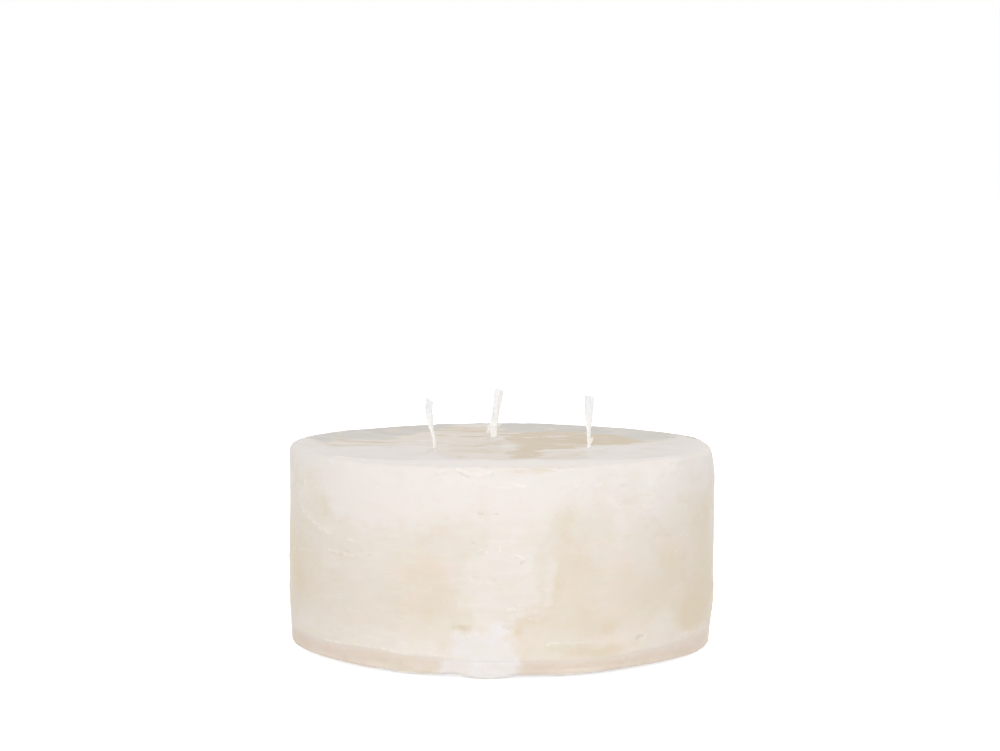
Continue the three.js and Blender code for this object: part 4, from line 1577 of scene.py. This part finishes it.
def makeWick(side, rng):
    wick = wicks[side]
    bm = bmesh.new()
    steps = round(wick["length"] * wicks["ringsPerMm"])
    for strand in range(wicks["strands"]):
        sweepRings(bm, [strandRing(side, step / steps, strand) for step in range(-3, steps + 1)])

    # The heart of the plait, and its straight run through the candle
    straight = ovalRing(side, 0, wicks["width"], wicks["thickness"])
    rings = [lowered(straight, height) for height in (wicks["footHeight"], dishFloor * 0.5, dishFloor)]
    rings.append(ovalRing(side, 0, wicks["primedWidth"], wicks["primedThickness"]))
    for step in range(1, wicks["coreRings"] + 1):
        share = step / wicks["coreRings"]
        spread = spreadAt(side, share)
        rings.append(ovalRing(side, share, wicks["primedWidth"] * spread, wicks["primedThickness"] * spread))
    rings[-1] = [point - Vector((0, 0, wicks["coreSunk"])) for point in rings[-1]]
    sweepRings(bm, rings)
    bmesh.ops.recalc_face_normals(bm, faces=bm.faces)

    # Fine fibres, most of them at the cut end
    fibres = newFibreCurve("fibres_" + side, wicks["fibreRadius"], 4)
    widthwise, through, lengthwise = wickDirections(side, 1)
    for fibre in range(wicks["endFibres"]):
        across = rng.uniform(-0.5, 0.5) * wicks["width"]
        depth = rng.uniform(-0.5, 0.5) * wicks["thickness"]
        start = alongWick(side, 1) + widthwise * across + through * depth
        start -= lengthwise * (snippedBy(side, 1, across, depth) + 0.25)
        aside = widthwise * rng.gauss(0, 0.25) + through * rng.gauss(0, 0.25)
        middle = start + lengthwise * rng.uniform(0.25, 0.4) + aside * 0.4
        addFibre(fibres, [start, middle, middle + lengthwise * rng.uniform(0, 0.2) + aside])
    for fibre in range(wicks["sideFibres"]):
        share = rng.uniform(0.04, 0.96)
        widthwise, through, lengthwise = wickDirections(side, share)
        swing = rng.uniform(0, 2 * math.pi)
        out = widthwise * math.cos(swing) * wicks["width"]
        out = (out + through * math.sin(swing) * wicks["thickness"]) / 2
        start = alongWick(side, share) + out * 0.75
        away = out.normalized() * rng.uniform(0.1, 0.4)
        lift = lengthwise * rng.uniform(-0.4, 0.8)
        addFibre(fibres, [start, start + away * 0.6 + lift * 0.5, start + away + lift])

    looseYarns = newFibreCurve("loose_yarns_" + side, wicks["looseYarnRadius"], 8)
    foot = alongWick(side, 0)
    foot.z = dishFloor
    for path in wick.get("looseYarns", []):
        points = [foot + Vector(offset) for offset in path]
        addFibre(looseYarns, points)
        for point in points[1:]:
            for fibre in range(wicks["straysPerBend"]):
                stray = Vector((rng.gauss(0, 0.35), rng.gauss(0, 0.3), rng.gauss(0, 0.35)))
                addFibre(fibres, [point - stray * 0.3, point + stray * 0.5, point + stray])
    bm.from_mesh(curveMesh(fibres))
    if wick.get("looseYarns"):
        bm.from_mesh(curveMesh(looseYarns))
    dry = bm.verts.layers.float.new("dry")
    # Painted light: how much lighter this wick's cotton is painted
    paintedLight = bm.verts.layers.float.new("paintedLight")
    for vert in bm.verts:
        vert[dry] = smoothstep(wick["dryFrom"] - 0.5, wick["dryFrom"] + 4.5, vert.co.z / mm - dishFloor)
        vert[paintedLight] = wick["paintedLight"]
    shadeSmooth(bm, 60)
    return meshFrom(bm, "wick_" + side + "_plait")


def cottonMaterial():
    material, tree, shader = newMaterial("waxed_cotton")
    point = surfacePoint(tree)
    fluff = cloud(tree, stretched(tree, point, (1, 1, 0.35)), 0.16, 3, 0.7)
    waxed = cloud(tree, point, 1.6, 3, 0.5)
    # The lower part is soaked in wax, the upper part is dry, with painted shade in lengthwise lines where the
    # plait folds.
    dry = meshValue(tree, "dry")
    # Painted light: the rear wick gets the lighter copy of each colour
    paintedLight = meshValue(tree, "paintedLight")
    dryColour = mixColour(tree, paintedLight, fromScreen(243, 244, 245), fromScreen(252, 253, 255))
    soaked = mixColour(tree, paintedLight, fromScreen(255, 253, 247), fromScreen(255, 255, 253))
    colour = mixColour(tree, dry, soaked, dryColour)
    # Painted shade in the creases along the dry upper part
    creaseShade = cloud(tree, stretched(tree, point, (1, 1, 0.1)), 0.8, 2, 0.5)
    groove = maths(tree, "MULTIPLY", softStep(tree, creaseShade, 0.5, 0.36), maths(tree, "MULTIPLY", dry, 0.5))
    colour = mixColour(tree, groove, colour, fromScreen(224, 225, 228))
    colour = mixColour(tree, maths(tree, "MULTIPLY", softStep(tree, waxed, 0.45, 0.7), 0.2), colour,
                       fromScreen(251, 251, 250))
    colour = mixColour(tree, maths(tree, "MULTIPLY", softStep(tree, fluff, 0.5, 0.3), 0.12), colour,
                       fromScreen(232, 233, 235))
    plug(tree, colour, shader.inputs["Base Color"])
    plug(tree, maths(tree, "ADD", 0.6, maths(tree, "MULTIPLY", fluff, 0.3)), shader.inputs["Roughness"])
    addBump(tree, shader, fluff, 0.04)
    shader.inputs["Specular IOR Level"].default_value = 0.3
    shader.inputs["Subsurface Weight"].default_value = 0.1
    shader.inputs["Subsurface Radius"].default_value = (1.0, 0.9, 0.8)
    shader.inputs["Subsurface Scale"].default_value = 0.3 * mm
    shader.inputs["Sheen Weight"].default_value = 0.2
    shader.inputs["Sheen Roughness"].default_value = 0.5
    return material


cotton = cottonMaterial()
wickRandom = random.Random(5)
for side in sides:
    wickPiece = makeWick(side, wickRandom)
    finishPiece(wickPiece, cotton, "wick_cotton", "wick_" + side)
    print("wick", side, "made:", len(wickPiece.data.polygons), "faces")


# Wax seals, with a small uneven collar round each wick
seals = {
    "sides": 64,
    "plugRadius": 2.9,
    "throatWidth": 2.62,
    "throatThickness": 1.22,
    "collarRadius": 3.7,
    # Profile of plug and collar, as (radius, height). Radius 1 is the throat, 2 the plug's wall and 3 the
    # collar's outer edge.
    "profile": [(1, -2.5), (2, -2.5), (2, -0.2), (3.3, -0.2), (3.25, -0.06), (3, 0.0), (2.7, 0.06),
                (2.4, 0.14), (2.1, 0.24), (1.8, 0.37), (1.5, 0.52), (1.25, 0.66), (1.1, 0.7), (1, 0.6)],
    # Angle, length and half width in degrees of the tongues of wax that run out from each collar.
    "left": [(185, 0.9, 30), (330, 0.6, 24)],
    "rear": [(30, 0.7, 30), (200, 0.5, 30)],
    "right": [(20, 0.9, 34), (150, 0.5, 30)],
}


def makeSeal(side):
    place = wickPlaces[side]
    plugRadius = seals["plugRadius"]
    bm = bmesh.new()
    verts = [bm.verts.new((radius, 0, height)) for radius, height in seals["profile"]]
    for index, vert in enumerate(verts):
        bm.edges.new((vert, verts[(index + 1) % len(verts)]))
    spinRound(bm, bm.verts[:] + bm.edges[:], seals["sides"])
    bmesh.ops.remove_doubles(bm, verts=bm.verts, dist=0.0001)
    startTurn = math.radians(wicks[side]["turns"][0])
    for vert in bm.verts:
        angle = math.atan2(vert.co.y, vert.co.x)
        ring = vert.co.xy.length
        fromWide = angle - startTurn
        throat = 1 / math.hypot(math.cos(fromWide) / (seals["throatWidth"] / 2),
                                math.sin(fromWide) / (seals["throatThickness"] / 2))
        around = Vector((math.cos(angle), math.sin(angle), place.x))
        edge = seals["collarRadius"] + 0.3 * noise.noise(around * 1.7)
        for runAngle, runLength, halfWidth in seals[side]:
            off = ((math.degrees(angle) - runAngle + 180) % 360 - 180) / halfWidth
            edge += runLength * math.exp(-off * off)
        if ring <= 2:
            radius = blendNumbers(throat, plugRadius, ring - 1)
        else:
            radius = blendNumbers(plugRadius, edge, ring - 2)
        lumpy = 1 + 0.25 * noise.noise(Vector((vert.co.x, vert.co.y, place.y)) * 1.3)
        height = vert.co.z * lumpy if vert.co.z > 0 else vert.co.z
        vert.co = Vector((place.x + radius * math.cos(angle), place.y + radius * math.sin(angle),
                          dishFloor + height)) * mm
    bmesh.ops.recalc_face_normals(bm, faces=bm.faces)
    layers = addWaxLayers(bm)
    for vert in bm.verts:
        clearWaxLayers(vert, layers)
        pool, frost, honey, backShade, inFront = topLayers(waxBody, vert.co / mm)
        vert[layers["pool"]] = pool
        vert[layers["frost"]] = frost
        vert[layers["honey"]] = honey * 0.5
        # The collar gets the full painted shade of the top
        vert[layers["topShade"]] = 1
    shadeSmooth(bm, 50)
    return meshFrom(bm, "wick_seal_" + side + "_collar")


sealLook = {
    **bodyLook,
    "poolColour": (224, 215, 205),
    "poolDark": (214, 202, 182),
    "flecks": 0,
    "roughness": 0.4,
    "bump": 0.05,
    "scatter": 0,
}
sealWax = waxMaterial("seal_wax", sealLook)
for side in sides:
    finishPiece(makeSeal(side), sealWax, "seal_wax", "wick_seal_" + side)
print("seals made")


# Sustainers stay as packed, and get tinned steel
def steelMaterial():
    material, tree, shader = newMaterial("tinned_steel")
    point = surfacePoint(tree)
    spangle = cloud(tree, point, 3.5, 4, 0.6, 0.8)
    scuffs = cloud(tree, stretched(tree, point, (1, 9, 1)), 2.2, 3, 0.6)
    colour = mixColour(tree, spangle, fromScreen(196, 198, 200), fromScreen(176, 177, 178))
    plug(tree, colour, shader.inputs["Base Color"])
    plug(tree, maths(tree, "ADD", 0.24, maths(tree, "MULTIPLY", scuffs, 0.25)), shader.inputs["Roughness"])
    addBump(tree, shader, maths(tree, "ADD", spangle, maths(tree, "MULTIPLY", scuffs, 0.3)), 0.02)
    shader.inputs["Metallic"].default_value = 1
    return material


steel = steelMaterial()
for side in sides:
    sustainer = frame["nodes"]["sustainer_" + side]
    sustainer.data.materials.clear()
    sustainer.data.materials.append(steel)
print("sustainers finished")


# White studio: floor, world and soft lamps, in metres and watts
studio = {
    "floorSize": 30,
    "floorDrop": 0.00005,  # keeps the floor just under the foot
    "floorColour": (0.92, 0.92, 0.92, 1),
    "floorGlow": 0.72,  # seen by the camera, so that the floor away from the shadow is plain white
    "worldLevel": 0.72,
    "aimHeight": 0.04,
    # Name, place, size and power of each lamp.
    "lamps": [
        ("front_softbox", (-0.15, -2.6, 1.0), 1.6, 27),
        ("back_softbox", (1.2, 2.2, 1.6), 1.6, 12),
    ],
}


def seenRays(tree):
    rays = tree.nodes.new("ShaderNodeLightPath")
    seen = maths(tree, "MAXIMUM", rays.outputs["Is Camera Ray"], rays.outputs["Is Glossy Ray"])
    return maths(tree, "MAXIMUM", seen, rays.outputs["Is Transmission Ray"])


def makeFloor(settings):
    bm = bmesh.new()
    bmesh.ops.create_grid(bm, x_segments=2, y_segments=2, size=settings["floorSize"] / 2)
    floor = meshFrom(bm, "floor")
    floor.location.z = -settings["floorDrop"]
    material, tree, shader = newMaterial("floor_white")
    shader.inputs["Base Color"].default_value = settings["floorColour"]
    shader.inputs["Roughness"].default_value = 1
    shader.inputs["Specular IOR Level"].default_value = 0
    shader.inputs["Emission Color"].default_value = (1, 1, 1, 1)
    glow = maths(tree, "MULTIPLY", seenRays(tree), settings["floorGlow"])
    plug(tree, glow, shader.inputs["Emission Strength"])
    floor.data.materials.append(material)


def makeWorld(settings):
    world = bpy.data.worlds.new("studio")
    world.use_nodes = True
    bpy.context.scene.world = world
    tree = world.node_tree
    background = tree.nodes["Background"]
    background.inputs["Color"].default_value = (1, 1, 1, 1)
    level = settings["worldLevel"]
    plug(tree, maths(tree, "ADD", level, maths(tree, "MULTIPLY", seenRays(tree), 1 - level)),
         background.inputs["Strength"])


def addLamp(name, place, size, power):
    lampData = bpy.data.lights.new(name, "AREA")
    lampData.size = size
    lampData.energy = power
    lamp = bpy.data.objects.new(name, lampData)
    lamp.location = place
    aim = Vector((0, 0, studio["aimHeight"])) - lamp.location
    lamp.rotation_euler = aim.to_track_quat("-Z", "Y").to_euler()
    bpy.context.scene.collection.objects.link(lamp)


makeFloor(studio)
makeWorld(studio)
for lampSettings in studio["lamps"]:
    addLamp(*lampSettings)
print("studio set")

print("all made")
